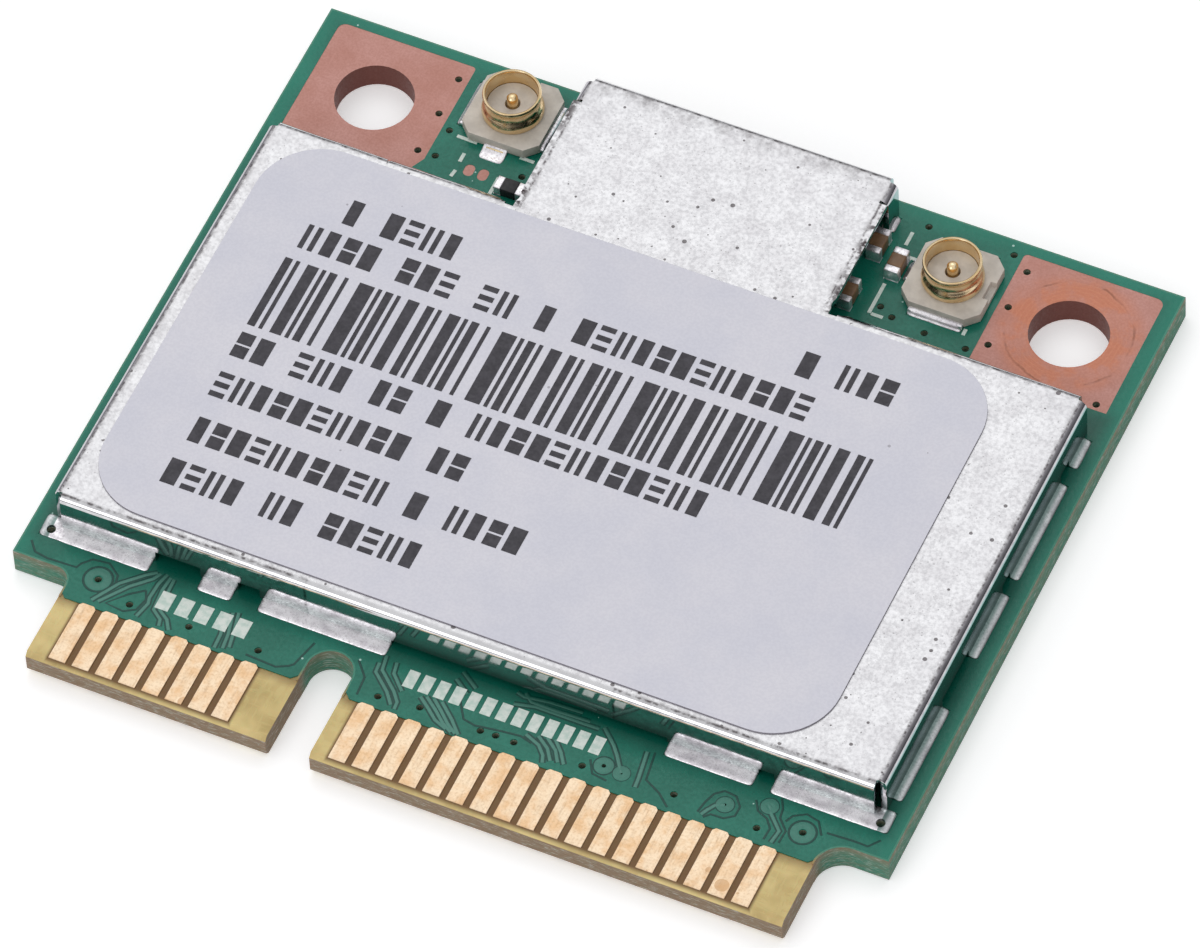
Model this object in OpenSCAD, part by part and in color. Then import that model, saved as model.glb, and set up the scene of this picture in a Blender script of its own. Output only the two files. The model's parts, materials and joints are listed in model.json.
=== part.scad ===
// Half-length wireless network card: a green board with an edge connector, a folded metal
// shield over the radio parts, a printed label and two push-on antenna receptacles.
// Millimetres. The card lies on its underside with the edge connector towards -Y.

/* [Board] */
// Width of the board along the edge connector
board_w = 29.85; // [29.4:0.05:31]
// Depth of the board from the connector tip to the back edge
board_d = 26.65; // [26.4:0.05:28]
// Thickness of the finished board
board_t = 1.0; // [0.8:0.05:1.4]
// Width of the connector tongue
tongue_w = 25.7; // [25.2:0.05:26.4]
// Length of the tongue from its tip to the shoulders
tongue_l = 3.35; // [3.1:0.05:3.6]
// Chamfer along both edges of the tongue tip
tip_bevel = 0.15; // [0.05:0.01:0.3]
// Width of the key notch in the tongue
key_w = 1.5; // [1.2:0.05:1.8]
// From the left side of the tongue to the middle of the key notch
key_x = 9.0; // [8.8:0.05:9.2]
// Depth of the key notch from the tip to its round end
key_l = 3.83; // [3.5:0.01:4.1]
// Fillet between the tongue and the left shoulder
fillet_left = 0.5; // [0.2:0.05:0.8]
// Fillet between the tongue and the right shoulder
fillet_right = 0.9; // [0.3:0.05:1.2]
// Bare rim of laminate round the solder mask
rim = 0.06; // [0.03:0.01:0.1]

/* [Mask and copper] */
// Thickness of the solder mask and of the gold contacts
mask_t = 0.04; // [0.03:0.005:0.06]
// Thickness of bare copper foil
foil_t = 0.03; // [0.02:0.005:0.03]
// Height of a solder joint above the mask
paste_t = 0.03; // [0.02:0.005:0.05]
// Bare length of a contact from the tongue tip to the mask
contact_l = 2.375; // [2.2:0.025:2.6]
// Width of one contact
contact_w = 0.58; // [0.4:0.01:0.65]
// Pitch of the contacts
contact_pitch = 0.8; // [0.78:0.01:0.82]
// From the middle of the key notch to the nearest contact on its left
key_to_left = 2.38; // [2.3:0.01:2.45]
// From the middle of the key notch to the nearest contact on its right
key_to_right = 1.62; // [1.55:0.01:1.7]
// Contacts to the left of the key notch
contacts_left = 8; // [4:1:8]
// Contacts to the right of the key notch
contacts_right = 18; // [6:1:18]
// Radius of a drilled via
via_r = 0.12; // [0.08:0.01:0.16]

/* [Mounting holes] */
// Radius of each mounting hole
hole_r = 1.3; // [1:0.05:1.5]
// From each side of the board to the middle of its hole
hole_side = 2.825; // [2.7:0.025:2.95]
// From the back edge of the board to the middle of each hole
hole_back = 2.75; // [2.7:0.05:2.9]
// Copper plating inside each hole
plating_t = 0.03; // [0.02:0.005:0.06]
// From the hole to the inner side of its land
land_in = 2.52; // [2.4:0.02:2.7]
// From the hole to the outer side of its land
land_out = 2.3; // [2:0.02:2.34]
// From the hole to the front side of its land
land_front = 2.42; // [2.2:0.02:2.5]
// From the hole to the back side of its land
land_back = 2.36; // [2.1:0.02:2.4]

/* [Shield can] */
// From each side of the board to the side wall of the can
can_side_gap = 0.775; // [0.7:0.025:0.9]
// From the tongue tip to the front wall of the can
can_front = 4.725; // [4.6:0.025:4.9]
// From the front of the mounting lands to the back wall of the can
can_back_gap = 0.605; // [0.5:0.005:0.9]
// Top of the can above the board
can_h = 1.6; // [1.55:0.05:2.4]
// Thickness of the metal sheet
sheet_t = 0.2; // [0.12:0.01:0.24]
// Outer radius of the folds
bend_r = 0.28; // [0.26:0.01:0.4]
// Open slit from each corner to the end of a wall
corner_slit = 0.3; // [0.2:0.05:0.5]
// From the middle of the left receptacle to the left side of the tab
tab_to_left = 2.025; // [1.9:0.025:2.2]
// From the middle of the right receptacle to the right side of the tab
tab_to_right = 2.695; // [2.6:0.005:2.9]
// From the back edge of the board to the back wall of the tab
tab_back = 0.245; // [0.24:0.01:0.5]
// Length of the small folded legs at the back corners of the tab
leg_l = 0.8; // [0.5:0.05:1.2]
// Radius of the round reliefs where the tab leaves the can
relief_r = 0.35; // [0.25:0.05:0.45]
// Width of the front and back solder pads outside the walls
pad_out = 0.48; // [0.36:0.02:0.52]
// Width of the side solder pads outside the walls
side_pad_out = 0.28; // [0.2:0.02:0.3]
// Height of the solder on the outside of the walls
fillet_h = 0.1; // [0.06:0.02:0.3]
// Radius of the hole through each front corner pad
corner_via_r = 0.15; // [0.1:0.01:0.2]

/* [Label] */
// From the left wall of the can to the left edge of the label
label_left = 0.65; // [0.4:0.05:1.5]
// From the right wall of the can to the right edge of the label
label_right = 2.55; // [2:0.05:3]
// From the front wall of the can to the front edge of the label
label_front = 0.4; // [0.3:0.05:0.5]
// From the back wall of the can to the back edge of the label
label_back = 0.45; // [0.3:0.05:0.6]
// Corner radius of the label
label_r = 2.2; // [0.5:0.1:4]
// Thickness of the label
label_t = 0.06; // [0.04:0.01:0.12]
// Thickness of the print
print_t = 0.01; // [0.005:0.005:0.03]
// Pitch of the printed blocks
block_pitch = 0.68; // [0.6:0.01:0.7]
// Height of the printed blocks
block_h = 0.98; // [0.7:0.02:1.2]
// Height of the bar pattern
bars_h = 2.86; // [2:0.02:3]

/* [Antenna receptacles] */
// From the left mounting land to the middle of the left receptacle
left_rx = 1.955; // [1.8:0.005:2.1]
// From the back edge to the left receptacle
left_ry = 1.78; // [1.75:0.05:1.9]
// From the right mounting land to the middle of the right receptacle
right_rx = 1.585; // [1.5:0.005:1.7]
// From the back edge to the right receptacle
right_ry = 2.46; // [2.3:0.02:2.6]
// Width of the receptacle housing
house_w = 2.72; // [2.5:0.02:2.74]
// Height of the receptacle housing
house_h = 0.39; // [0.36:0.01:0.5]
// Corner chamfer of the housing
house_chamfer = 0.4; // [0.2:0.05:0.6]
// Outer radius of the contact ring
ring_r = 0.95; // [0.9:0.01:1.05]
// Wall of the contact ring
ring_wall = 0.12; // [0.08:0.01:0.16]
// Top of the contact ring above the solder
ring_h = 1.35; // [1.1:0.05:1.6]
// Radius of the centre contact
pin_r = 0.18; // [0.12:0.01:0.24]
// Top of the centre contact above the solder
pin_h = 1.14; // [0.9:0.02:1.2]

/* [Hidden] */
$fn = 64;
eps = 0.01;

// Levels above the underside
floor_z = board_t - mask_t;
seat_z = board_t + paste_t;
can_z = board_t + can_h;

// Lines of the board
tip_y = -board_d / 2;
back_y = board_d / 2;
shoulder_y = tip_y + tongue_l;
mask_front_y = tip_y + contact_l;
tongue_side = tongue_w / 2;
key_cx = -tongue_side + key_x;
key_arc_y = tip_y + key_l - key_w / 2;
hole_y = back_y - hole_back;
hole_x = board_w / 2 - hole_side;
land_corner = 0.28;
mask_notch = 0.28;

// Centres of the receptacles and their quarter turns
left_at = [-hole_x + land_in + left_rx, back_y - left_ry];
right_at = [hole_x - land_in - right_rx, back_y - right_ry];
left_turn = 90;
right_turn = 0;

// Lines of the can
can_front_y = tip_y + can_front;
can_back_y = hole_y - land_front - can_back_gap;
can_mid_y = (can_front_y + can_back_y) / 2;
can_side = board_w / 2 - can_side_gap;
can_w = 2 * can_side;
can_d = can_back_y - can_front_y;
tab_left = left_at[0] + tab_to_left;
tab_right = right_at[0] - tab_to_right;
tab_w = tab_right - tab_left;
tab_back_y = back_y - tab_back;
tab_mid = [(tab_left + tab_right) / 2, (can_back_y + tab_back_y) / 2];
relief_out = relief_r - 0.05;
leg_y = tab_back_y - corner_slit - leg_l;
corner_via = [can_side, can_front_y - 0.2];
nick_x = -10.0;
pad_in = 0.15;
tab_pad_out = 0.14;

// Vias beside the receptacles, from the back edge of the board
BACK_VIAS = [[-9.32, -3.02], [-9.31, -4.12], [-6.4, -3.82], [6.35, -0.6], [9.28, -0.58],
    [6.7, -4.33], [6.2, -4.08], [7.89, -4.5], [9.33, -4.56]];
// Vias in front of the can, from the shoulder line
FRONT_VIAS = [[-10.66, -0.42], [-8.59, -0.46], [-6.22, -0.43], [-2.06, -0.54], [-0.69, -0.41],
    [1.4, -0.47], [1.91, -0.45], [2.53, -0.46], [4.83, -0.43], [5.45, -0.17], [6.07, -0.22],
    [7.87, -0.3], [9.47, -0.03], [10.76, 0.45], [10.71, -0.44], [-11.98, 0.06], [12.08, -0.04]];
// Vias of the right land from its hole, repeated in mirror image on the left but for the last
land_via_x = 0.34 - land_in;
LAND_VIAS = [[land_via_x, 1.72], [land_via_x, 0.22], [land_via_x, -1.38], [1.87, 0.22 - land_front]];

// Soldered stretches and bottom notches of a wall as shares of its length; a notch has its height
FRONT_PADS = [[-0.023, 0.114], [0.175, 0.217], [0.25, 0.41], [0.751, 0.859], [0.88, 1.023]];
FRONT_NOTCHES = [[0.117, 0.173, 0.47], [0.22, 0.247, 0.42], [0.41, 0.749, 0.22], [0.86, 0.879, 0.3]];
SIDE_PADS = [[0.031, 0.271], [0.403, 0.57], [0.61, 0.864], [0.908, 0.985]];
SIDE_NOTCHES = [[0.272, 0.402, 0.35], [0.571, 0.609, 0.35], [0.865, 0.907, 0.35]];
BACK_PADS = [[0.12, 0.3], [0.38, 0.6], [0.7, 0.96]];
BACK_NOTCHES = [[0.305, 0.375, 0.35], [0.605, 0.695, 0.35]];
TAB_PADS = [[0.03, 0.26], [0.38, 0.62], [0.74, 0.97]];
TAB_NOTCHES = [[0.27, 0.37, 0.35], [0.63, 0.73, 0.35]];
LEG_PADS = [[0.1, 0.9]];

// One row per wall: start of its outer face, turn, length, solder width, pads, notches
back_start = tab_right + relief_out;
back_wall_l = can_side - corner_slit - back_start;
back_left_l = can_side - corner_slit + tab_left - relief_out;
WALLS = [
    [[-can_side + corner_slit, can_front_y], 0, can_w - 2 * corner_slit, pad_out,
        FRONT_PADS, FRONT_NOTCHES],
    [[can_side, can_front_y + corner_slit], 90, can_d - 2 * corner_slit, side_pad_out,
        SIDE_PADS, SIDE_NOTCHES],
    [[-can_side, can_back_y - corner_slit], 270, can_d - 2 * corner_slit, side_pad_out,
        mirrored(SIDE_PADS), mirrored(SIDE_NOTCHES)],
    [[can_side - corner_slit, can_back_y], 180, back_wall_l, side_pad_out,
        mirrored(BACK_PADS), mirrored(BACK_NOTCHES)],
    [[tab_left - relief_out, can_back_y], 180, back_left_l, side_pad_out, BACK_PADS, BACK_NOTCHES],
    [[tab_right - corner_slit, tab_back_y], 180, tab_w - 2 * corner_slit, tab_pad_out,
        TAB_PADS, TAB_NOTCHES],
    [[tab_right, leg_y], 90, leg_l, tab_pad_out, LEG_PADS, []],
    [[tab_left, leg_y + leg_l], 270, leg_l, tab_pad_out, LEG_PADS, []]
];

// Printed rows on the label: left end and bottom from the middle of the label, block counts
ROWS = [
    [[-9.4, 5.05], [1, 4]],
    [[6.25, 5.2], [1, 3]],
    [[-10.25, 3.65], [4, 3, 2, 1, 12]],
    [[-10.4, -1.0], [2, 3, 2, 1, 12]],
    [[-10.35, -2.65], [10, 2]],
    [[-10.25, -4.5], [10, 1, 4]],
    [[-10.3, -6.25], [4, 2, 5]]
];
// Widths of the bars and of the gaps after them, in bar units, repeated along the pattern
BARS = [[2, 1], [1, 2], [3, 1], [1, 1], [2, 2], [1, 3], [4, 1], [1, 1], [2, 1], [1, 2], [3, 2]];
bar_unit = 0.13;
bars_left = -10.4;
bars_right = 10.35;
bars_y = 0.3;

// Printed marks on the board: rows of plain blocks, from the front wall of the can
LEGEND = [[[-9.9, -1.595], 5, 0.66, 0.68], [[-1.55, -1.275], 13, 0.527, 0.66]];
mark_w = 0.12;
mark_t = 0.015;
// Strokes beside the left receptacle, from its centre
LEFT_MARKS = [[[-1.37, -1.35], [-0.66, -1.37]], [[0.85, -1.36], [1.35, -1.37]],
    [[-0.86, -1.9], [-0.86, -2.26]], [[-0.84, -2.62], [-0.88, -2.9]],
    [[0.56, -2.35], [0.56, -3.1]], [[1.76, -2.35], [1.76, -3.1]]];
// Strokes beside the right receptacle, from its centre
RIGHT_MARKS = [[[-2.03, 0.9], [-2.03, 1.45]], [[-1.93, 0.5], [-1.45, 0.5]],
    [[-2.03, -0.75], [-2.03, -2.0]], [[-1.95, -2.0], [-1.55, -2.0]],
    [[1.05, -1.65], [1.05, -1.4]]];

// Places of the small inner parts as [x, y, turn], about the middle line of the can: from the
// front, back and right side of the radio chip, and from the left and right wall of the can
CAPS_FRONT = [[-3.6, -0.8, 0], [-2.0, -0.8, 0], [-0.4, -0.8, 0], [1.2, -0.8, 0], [2.8, -0.8, 0]];
CAPS_BACK = [[-2.8, 0.8, 0], [-1.2, 0.8, 0], [0.4, 0.8, 0], [2.0, 0.8, 0]];
CAPS_SIDE = [[0.6, 2.4, 90], [0.6, 0.8, 90], [0.6, -0.8, 90], [0.6, -2.4, 90]];
CAPS_LEFT = [[1.0, -5.2, 90], [1.0, -3.6, 90], [2.0, 5.4, 0], [3.6, 5.4, 0], [5.2, 5.4, 0]];
CAPS_RIGHT = [[-1.0, 5.2, 90], [-1.0, 3.6, 90], [-2.6, -5.6, 0], [-4.2, -5.6, 0]];
RESISTORS_FRONT = [[4.4, -0.8, 0]];
RESISTORS_BACK = [[4.4, 0.8, 0]];
RESISTORS_SIDE = [[1.6, 2.4, 90], [1.6, 0.8, 90], [1.6, -0.8, 90]];
RESISTORS_LEFT = [[1.0, -2.0, 90], [1.0, -0.4, 90], [2.4, -5.4, 0], [4.0, -5.4, 0]];
RESISTORS_RIGHT = [[-1.0, 2.0, 90], [-1.0, 0.4, 90], [-6.6, 5.4, 0], [-6.9, 4.6, 0]];
cap_size = [1.0, 0.5, 0.5];
res_size = [1.0, 0.5, 0.35];
end_l = 0.25;
// Small parts beside the tab: from the left side of the right housing, and from the left receptacle
BESIDE_RIGHT = [[-1.49, -1.7, 90], [-1.39, 0.42, 90], [-0.54, -0.08, 90]];
BESIDE_LEFT = [[1.16, -2.75, 0]];
filter_spread = 2.4;
filter_size = [2.0, 1.25, 0.6];

// Larger inner parts: place and size
radio_at = [-1.6, can_mid_y];
radio_size = [8.4, 8.4, 0.85];
radio_paddle = 5.6;
front_end_size = [4, 3, 0.7];
front_end_left_at = [-can_side + 4.0, can_mid_y + 2.6];
front_end_right_at = [can_side - 4.2, can_mid_y + 3.0];
memory_at = [-can_side + 4.2, can_mid_y - 2.2];
memory_size = [3, 2, 0.75];
regulator_at = [can_side - 4.2, can_mid_y - 0.4];
regulator_size = [2.9, 1.6, 1.0];
crystal_at = [can_side - 5.6, can_mid_y - 3.4];
crystal_size = [3.2, 2.5, 0.5];
crystal_lid_size = [2.8, 2.1, 0.2];
inductor_at = [can_side - 2.0, can_mid_y - 3.4];
inductor_size = [2.5, 2.0, 1.0];
lead_w = 0.3;
lead_l = 0.4;
lead_t = 0.15;

function mirrored(spans) = [for (s = spans) concat([1 - s[1], 1 - s[0]], len(s) > 2 ? [s[2]] : [])];

// Sum of the first n numbers of a list
function sum_to(v, n) = n <= 0 ? 0 : v[n - 1] + sum_to(v, n - 1);

// A round-cornered rectangle about the origin
module round_rect(w, d, r) {
    square([w - 2 * r, d], center = true);
    square([w, d - 2 * r], center = true);
    for (sx = [-1, 1], sy = [-1, 1])
        translate([sx * (w / 2 - r), sy * (d / 2 - r)]) circle(r);
}

// A rectangle given by two opposite corners
module span(a, b) {
    translate([min(a[0], b[0]), min(a[1], b[1])]) square([abs(b[0] - a[0]), abs(b[1] - a[1])]);
}

// A round fillet in the corner between the tongue and a shoulder; side is 1 right or -1 left
module shoulder_fillet(side, r, inset) {
    translate([side * tongue_side, shoulder_y]) mirror([side < 0 ? 1 : 0, 0])
        difference() {
            translate([-inset - rim, -r]) square([r + inset + rim, r + inset + rim]);
            translate([r, -r]) circle(r + inset);
        }
}

// Board outline moved inwards by inset
module board_outline(inset = 0) {
    difference() {
        union() {
            translate([-board_w / 2 + inset, shoulder_y + inset])
                square([board_w - 2 * inset, board_d - tongue_l - 2 * inset]);
            translate([-tongue_side + inset, tip_y + inset])
                square([tongue_w - 2 * inset, tongue_l + 1]);
            shoulder_fillet(-1, fillet_left, inset);
            shoulder_fillet(1, fillet_right, inset);
        }
        translate([key_cx - key_w / 2 - inset, tip_y - 1])
            square([key_w + 2 * inset, key_arc_y - tip_y + 1]);
        translate([key_cx, key_arc_y]) circle(key_w / 2 + inset);
    }
}

module front_of_mask() {
    span([-board_w, tip_y - 1], [board_w, mask_front_y]);
}

// Area covered by the mask, before its openings
module mask_area() {
    difference() {
        board_outline(rim);
        front_of_mask();
        for (x = [key_cx - key_w / 2 - rim, key_cx + key_w / 2 + rim, -tongue_side, tongue_side])
            translate([x, mask_front_y]) rotate(45) square(mask_notch, center = true);
        contacts_area();
    }
}

// Recess for mask and copper on either face
module recess_area() {
    board_outline(rim);
    intersection() {
        board_outline();
        front_of_mask();
    }
}

module vias() {
    for (v = BACK_VIAS) translate([v[0], back_y + v[1]]) circle(via_r);
    for (v = FRONT_VIAS) translate([v[0], shoulder_y + v[1]]) circle(via_r);
    for (side = [-1, 1]) translate([side * corner_via[0], corner_via[1]]) circle(corner_via_r);
}

// Mirrors its children to the left hole, or leaves them at the right one
module at_hole(side) {
    translate([side * hole_x, hole_y]) mirror([side < 0 ? 1 : 0, 0]) children();
}

module land_vias(side) {
    last = len(LAND_VIAS) - (side > 0 ? 1 : 2);
    for (i = [0 : last]) translate(LAND_VIAS[i]) circle(via_r);
}

// Rounds one corner of what is cut from it; sx and sy point out of the corner
module corner_cut(x, y, sx, sy, r) {
    translate([x - sx * r, y - sy * r]) difference() {
        translate([sx > 0 ? 0 : -2 * r, sy > 0 ? 0 : -2 * r]) square(2 * r);
        circle(r);
    }
}

// Outline of a mounting land about its hole
module land_outline(side) {
    cut = side < 0 ? 0.4 : 0;
    difference() {
        polygon(concat(
            [[land_out, -land_front], [land_out, land_back], [-land_in, land_back]],
            cut > 0 ? [[-land_in, -land_front + 2 * cut], [-land_in + cut, -land_front]]
                : [[-land_in, -land_front]]));
        corner_cut(land_out, land_back, 1, 1, land_corner);
        corner_cut(-land_in, land_back, -1, 1, land_corner / 2);
        if (side > 0) corner_cut(-land_in, -land_front, -1, -1, land_corner);
    }
}

module board() {
    color("darkkhaki") difference() {
        linear_extrude(board_t) board_outline();
        translate([0, 0, floor_z]) linear_extrude(1) recess_area();
        translate([0, 0, mask_t - 1]) linear_extrude(1) recess_area();
        for (face = [0, 1]) translate([0, 0, face * board_t]) mirror([0, 0, face])
            translate([0, tip_y, mask_t]) rotate([45, 0, 0])
                cube([board_w, tip_bevel * sqrt(2), tip_bevel * sqrt(2)], center = true);
        for (side = [-1, 1]) at_hole(side) {
            cylinder(h = 3 * board_t, r = hole_r + plating_t, center = true);
            linear_extrude(board_t) land_vias(side);
        }
        linear_extrude(board_t) vias();
    }
}

// Places a part drawn in a wall's own frame: along +X, outer face on y = 0, outside towards -Y
module at_wall(wall) {
    translate(wall[0]) rotate(wall[1]) children();
}

module wall_pads(wall) {
    for (p = wall[4])
        span([p[0] * wall[2], -wall[3]], [p[1] * wall[2], sheet_t + pad_in]);
}

// Solder lands under the feet of the can
module can_pads() {
    for (wall = WALLS) at_wall(wall) wall_pads(wall);
}

// Lugs and tail of a receptacle, seen from above, with the tail towards -X
lug_w = 1.65;
lug_reach = house_w / 2 + 0.12;
tail_w = 0.6;
lug_pad = 0.12;
module lug_area(grow = 0) {
    for (s = [-1, 1]) turn_over(s)
        span([-lug_w / 2 - grow, 0.6], [lug_w / 2 + grow, lug_reach + grow]);
}
module turn_over(s) {
    mirror([0, s < 0 ? 1 : 0]) children();
}
module tail_area(grow = 0) {
    span([-lug_reach - grow, -tail_w / 2 - grow], [-0.1, tail_w / 2 + grow]);
}
module at_left() { translate(left_at) rotate(left_turn) children(); }
module at_right() { translate(right_at) rotate(right_turn) children(); }

// Solder lands of one receptacle
module receptacle_pads() {
    lug_area(lug_pad);
    span([-lug_reach - lug_pad, -tail_w / 2 - lug_pad], [-ring_r, tail_w / 2 + lug_pad]);
}

// Free copper spots in front of the left receptacle
module spare_spots() {
    for (x = [-0.44, 0.05]) translate(left_at + [x, -2.45]) round_rect(0.34, 0.46, 0.16);
}

// Underside test spots as [x, y]
TEST_SPOTS = [[-9, 4], [-6.5, 4], [-4, 4], [5, -3.5], [7.5, -3.5], [5, -6], [7.5, -6], [10.5, 2]];
module test_spots() {
    for (p = TEST_SPOTS) translate(p) circle(0.45);
}

// Two ends of a small two-ended part lying along X
module end_areas(size) {
    for (s = [-1, 1]) translate([s * (size[0] - end_l) / 2, 0]) square([end_l, size[1]], center = true);
}

// Repeats its children at every place of a list of [x, y, turn]
module at_places(places) {
    for (p = places) translate([p[0], p[1]]) rotate(p[2]) children();
}

// The same from the front, back and right side of the radio chip
module beside_radio(front, back, side) {
    translate(radio_at - [0, radio_size[1] / 2]) at_places(front) children();
    translate(radio_at + [0, radio_size[1] / 2]) at_places(back) children();
    translate(radio_at + [radio_size[0] / 2, 0]) at_places(side) children();
}

// The same from the left and the right wall of the can
module beside_walls(left, right) {
    translate([-can_side, can_mid_y]) at_places(left) children();
    translate([can_side, can_mid_y]) at_places(right) children();
}

module at_caps() {
    beside_radio(CAPS_FRONT, CAPS_BACK, CAPS_SIDE) children();
    beside_walls(CAPS_LEFT, CAPS_RIGHT) children();
    translate(right_at - [house_w / 2, 0]) at_places(BESIDE_RIGHT) children();
}
module at_resistors() {
    beside_radio(RESISTORS_FRONT, RESISTORS_BACK, RESISTORS_SIDE) children();
    beside_walls(RESISTORS_LEFT, RESISTORS_RIGHT) children();
    translate(left_at) at_places(BESIDE_LEFT) children();
}

// Rows of leads along the two long sides of a package
module lead_rows(size, count, pitch, reach) {
    for (s = [0, 1], i = [0 : count - 1])
        rotate(180 * s) translate([(i - (count - 1) / 2) * pitch, -size[1] / 2 + lead_l / 2 - reach])
            square([lead_w, lead_l], center = true);
}
module radio_lead_area() {
    for (turn = [0, 90]) rotate(turn) lead_rows(radio_size, 12, 0.6, 0);
    square(radio_paddle, center = true);
}
module memory_lead_area() { lead_rows(memory_size, 4, 0.65, 0); }
module regulator_lead_area() { lead_rows(regulator_size, 3, 0.95, lead_l); }
module front_end_area() { square([front_end_size[0] - 0.6, front_end_size[1] - 0.6], center = true); }
module crystal_area() {
    for (sx = [-1, 1], sy = [-1, 1])
        translate([sx * (crystal_size[0] / 2 - 0.6), sy * (crystal_size[1] / 2 - 0.5)])
            square([1, 0.8], center = true);
}
module at_filters() {
    for (s = [-1, 1]) translate(tab_mid + [s * filter_spread, 0]) children();
}
module filter_area() {
    for (s = [-1, 1]) translate([s * 0.7, 0]) square([0.5, 1.1], center = true);
}

// Solder lands of everything inside the can and beside the tab
module component_lands() {
    at_caps() end_areas(cap_size);
    at_resistors() end_areas(res_size);
    translate(radio_at) radio_lead_area();
    translate(memory_at) memory_lead_area();
    translate(regulator_at) regulator_lead_area();
    translate(crystal_at) crystal_area();
    translate(inductor_at) end_areas(inductor_size);
    translate(front_end_left_at) front_end_area();
    translate(front_end_right_at) front_end_area();
    at_filters() filter_area();
}

module solder_mask_top() {
    color("seagreen") translate([0, 0, floor_z]) linear_extrude(mask_t) difference() {
        mask_area();
        for (side = [-1, 1]) at_hole(side) land_outline(side);
        can_pads();
        at_left() receptacle_pads();
        at_right() receptacle_pads();
        spare_spots();
        component_lands();
        vias();
    }
}

module solder_mask_bottom() {
    color("seagreen") linear_extrude(mask_t) difference() {
        mask_area();
        for (side = [-1, 1]) at_hole(side) land_outline(side);
        test_spots();
        vias();
    }
}

// A copper land on both faces, joined through its plated hole
module mounting_land(side) {
    color("rosybrown") at_hole(side) difference() {
        union() {
            translate([0, 0, floor_z]) linear_extrude(foil_t) land_outline(side);
            translate([0, 0, mask_t - foil_t]) linear_extrude(foil_t) land_outline(side);
            translate([0, 0, mask_t]) cylinder(h = board_t - 2 * mask_t, r = hole_r + plating_t);
        }
        cylinder(h = 3 * board_t, r = hole_r, center = true);
        linear_extrude(board_t) land_vias(side);
    }
}
module mounting_land_left() { mounting_land(-1); }
module mounting_land_right() { mounting_land(1); }

// Contacts of a row that fit beside the key notch, given the length from the first to the side
contact_edge = 0.9;
function fitting(count, length) =
    min(count, floor((length - contact_edge) / contact_pitch) + 1);

// Plan of one contact: its end at the mask has clipped corners
contact_clip = 0.1;
contact_tuck = 0.05;
module contact_area() {
    w = contact_w / 2;
    end_y = mask_front_y + contact_tuck;
    polygon([[-w, tip_y + tip_bevel], [w, tip_y + tip_bevel], [w, end_y - contact_clip],
        [w - contact_clip, end_y], [contact_clip - w, end_y], [-w, end_y - contact_clip]]);
}
module contacts_area() {
    for (i = [0 : fitting(contacts_left, key_x - key_to_left) - 1])
        translate([key_cx - key_to_left - i * contact_pitch, 0]) contact_area();
    for (i = [0 : fitting(contacts_right, tongue_w - key_x - key_to_right) - 1])
        translate([key_cx + key_to_right + i * contact_pitch, 0]) contact_area();
}
module edge_contacts(z) {
    translate([0, 0, z]) linear_extrude(mask_t) contacts_area();
}
module edge_contacts_top() { color("gold") edge_contacts(floor_z); }
module edge_contacts_bottom() { color("gold") edge_contacts(0); }

// Section of a folded wall: its outer face on x = 0, the fold turning into the flat top
module wall_section() {
    translate([0, seat_z]) square([sheet_t, can_z - bend_r - seat_z]);
    translate([bend_r, can_z - bend_r]) intersection() {
        difference() {
            circle(bend_r);
            circle(bend_r - sheet_t);
        }
        translate([-bend_r, 0]) square(bend_r);
    }
}

module folded_wall(wall) {
    difference() {
        rotate([90, 0, 90]) linear_extrude(wall[2]) wall_section();
        for (n = wall[5])
            translate([n[0] * wall[2], -1, seat_z - 1])
                cube([(n[1] - n[0]) * wall[2], 2, 1 + n[2]]);
    }
}

// Flat top of the can, up to the start of each fold
module can_top_area() {
    sheared_y = leg_y - 0.1;
    span([-can_side + bend_r, can_front_y + bend_r], [can_side - bend_r, can_back_y - bend_r]);
    span([tab_left, can_back_y - bend_r], [tab_right, sheared_y]);
    span([tab_left + bend_r, sheared_y], [tab_right - bend_r, tab_back_y - bend_r]);
}

module shield_can() {
    color("gainsboro") difference() {
        union() {
            translate([0, 0, can_z - sheet_t]) linear_extrude(sheet_t) can_top_area();
            for (wall = WALLS) at_wall(wall) folded_wall(wall);
        }
        for (x = [tab_left - relief_out, tab_right + relief_out])
            translate([x, can_back_y + relief_out / 2, board_t])
                cylinder(h = 2 * can_h, r = relief_r);
        translate([nick_x, can_back_y, can_z - bend_r]) linear_extrude(1)
            polygon([[-0.12, 0.1], [0.12, 0.1], [0, -bend_r - 0.05]]);
    }
}

// Section of the solder at a wall: pad, foot and the hollow fillet up the outer face
module solder_section(out) {
    steps = 4;
    bow = [for (i = [0 : steps]) let (a = 90 * i / steps)
        [-out + out * sin(a), board_t + (paste_t + fillet_h) * (1 - cos(a))]];
    polygon(concat([[-out, floor_z]], bow,
        [[0, seat_z], [sheet_t, seat_z], [sheet_t + pad_in, board_t], [sheet_t + pad_in, floor_z]]));
}

module shield_solder() {
    color("lightgray") difference() {
        for (wall = WALLS) at_wall(wall) for (p = wall[4])
            translate([p[0] * wall[2], 0, 0]) rotate([90, 0, 90])
                linear_extrude((p[1] - p[0]) * wall[2]) solder_section(wall[3]);
        for (side = [-1, 1]) translate([side * corner_via[0], corner_via[1], 0])
            cylinder(h = can_z, r = corner_via_r);
    }
}

label_w = can_w - label_left - label_right;
label_d = can_d - label_front - label_back;
label_mid = [(label_left - label_right) / 2, (can_front_y + label_front + can_back_y - label_back) / 2];
module label() {
    color("lavender") translate([label_mid[0], label_mid[1], can_z])
        linear_extrude(label_t) round_rect(label_w, label_d, label_r);
}

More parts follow.
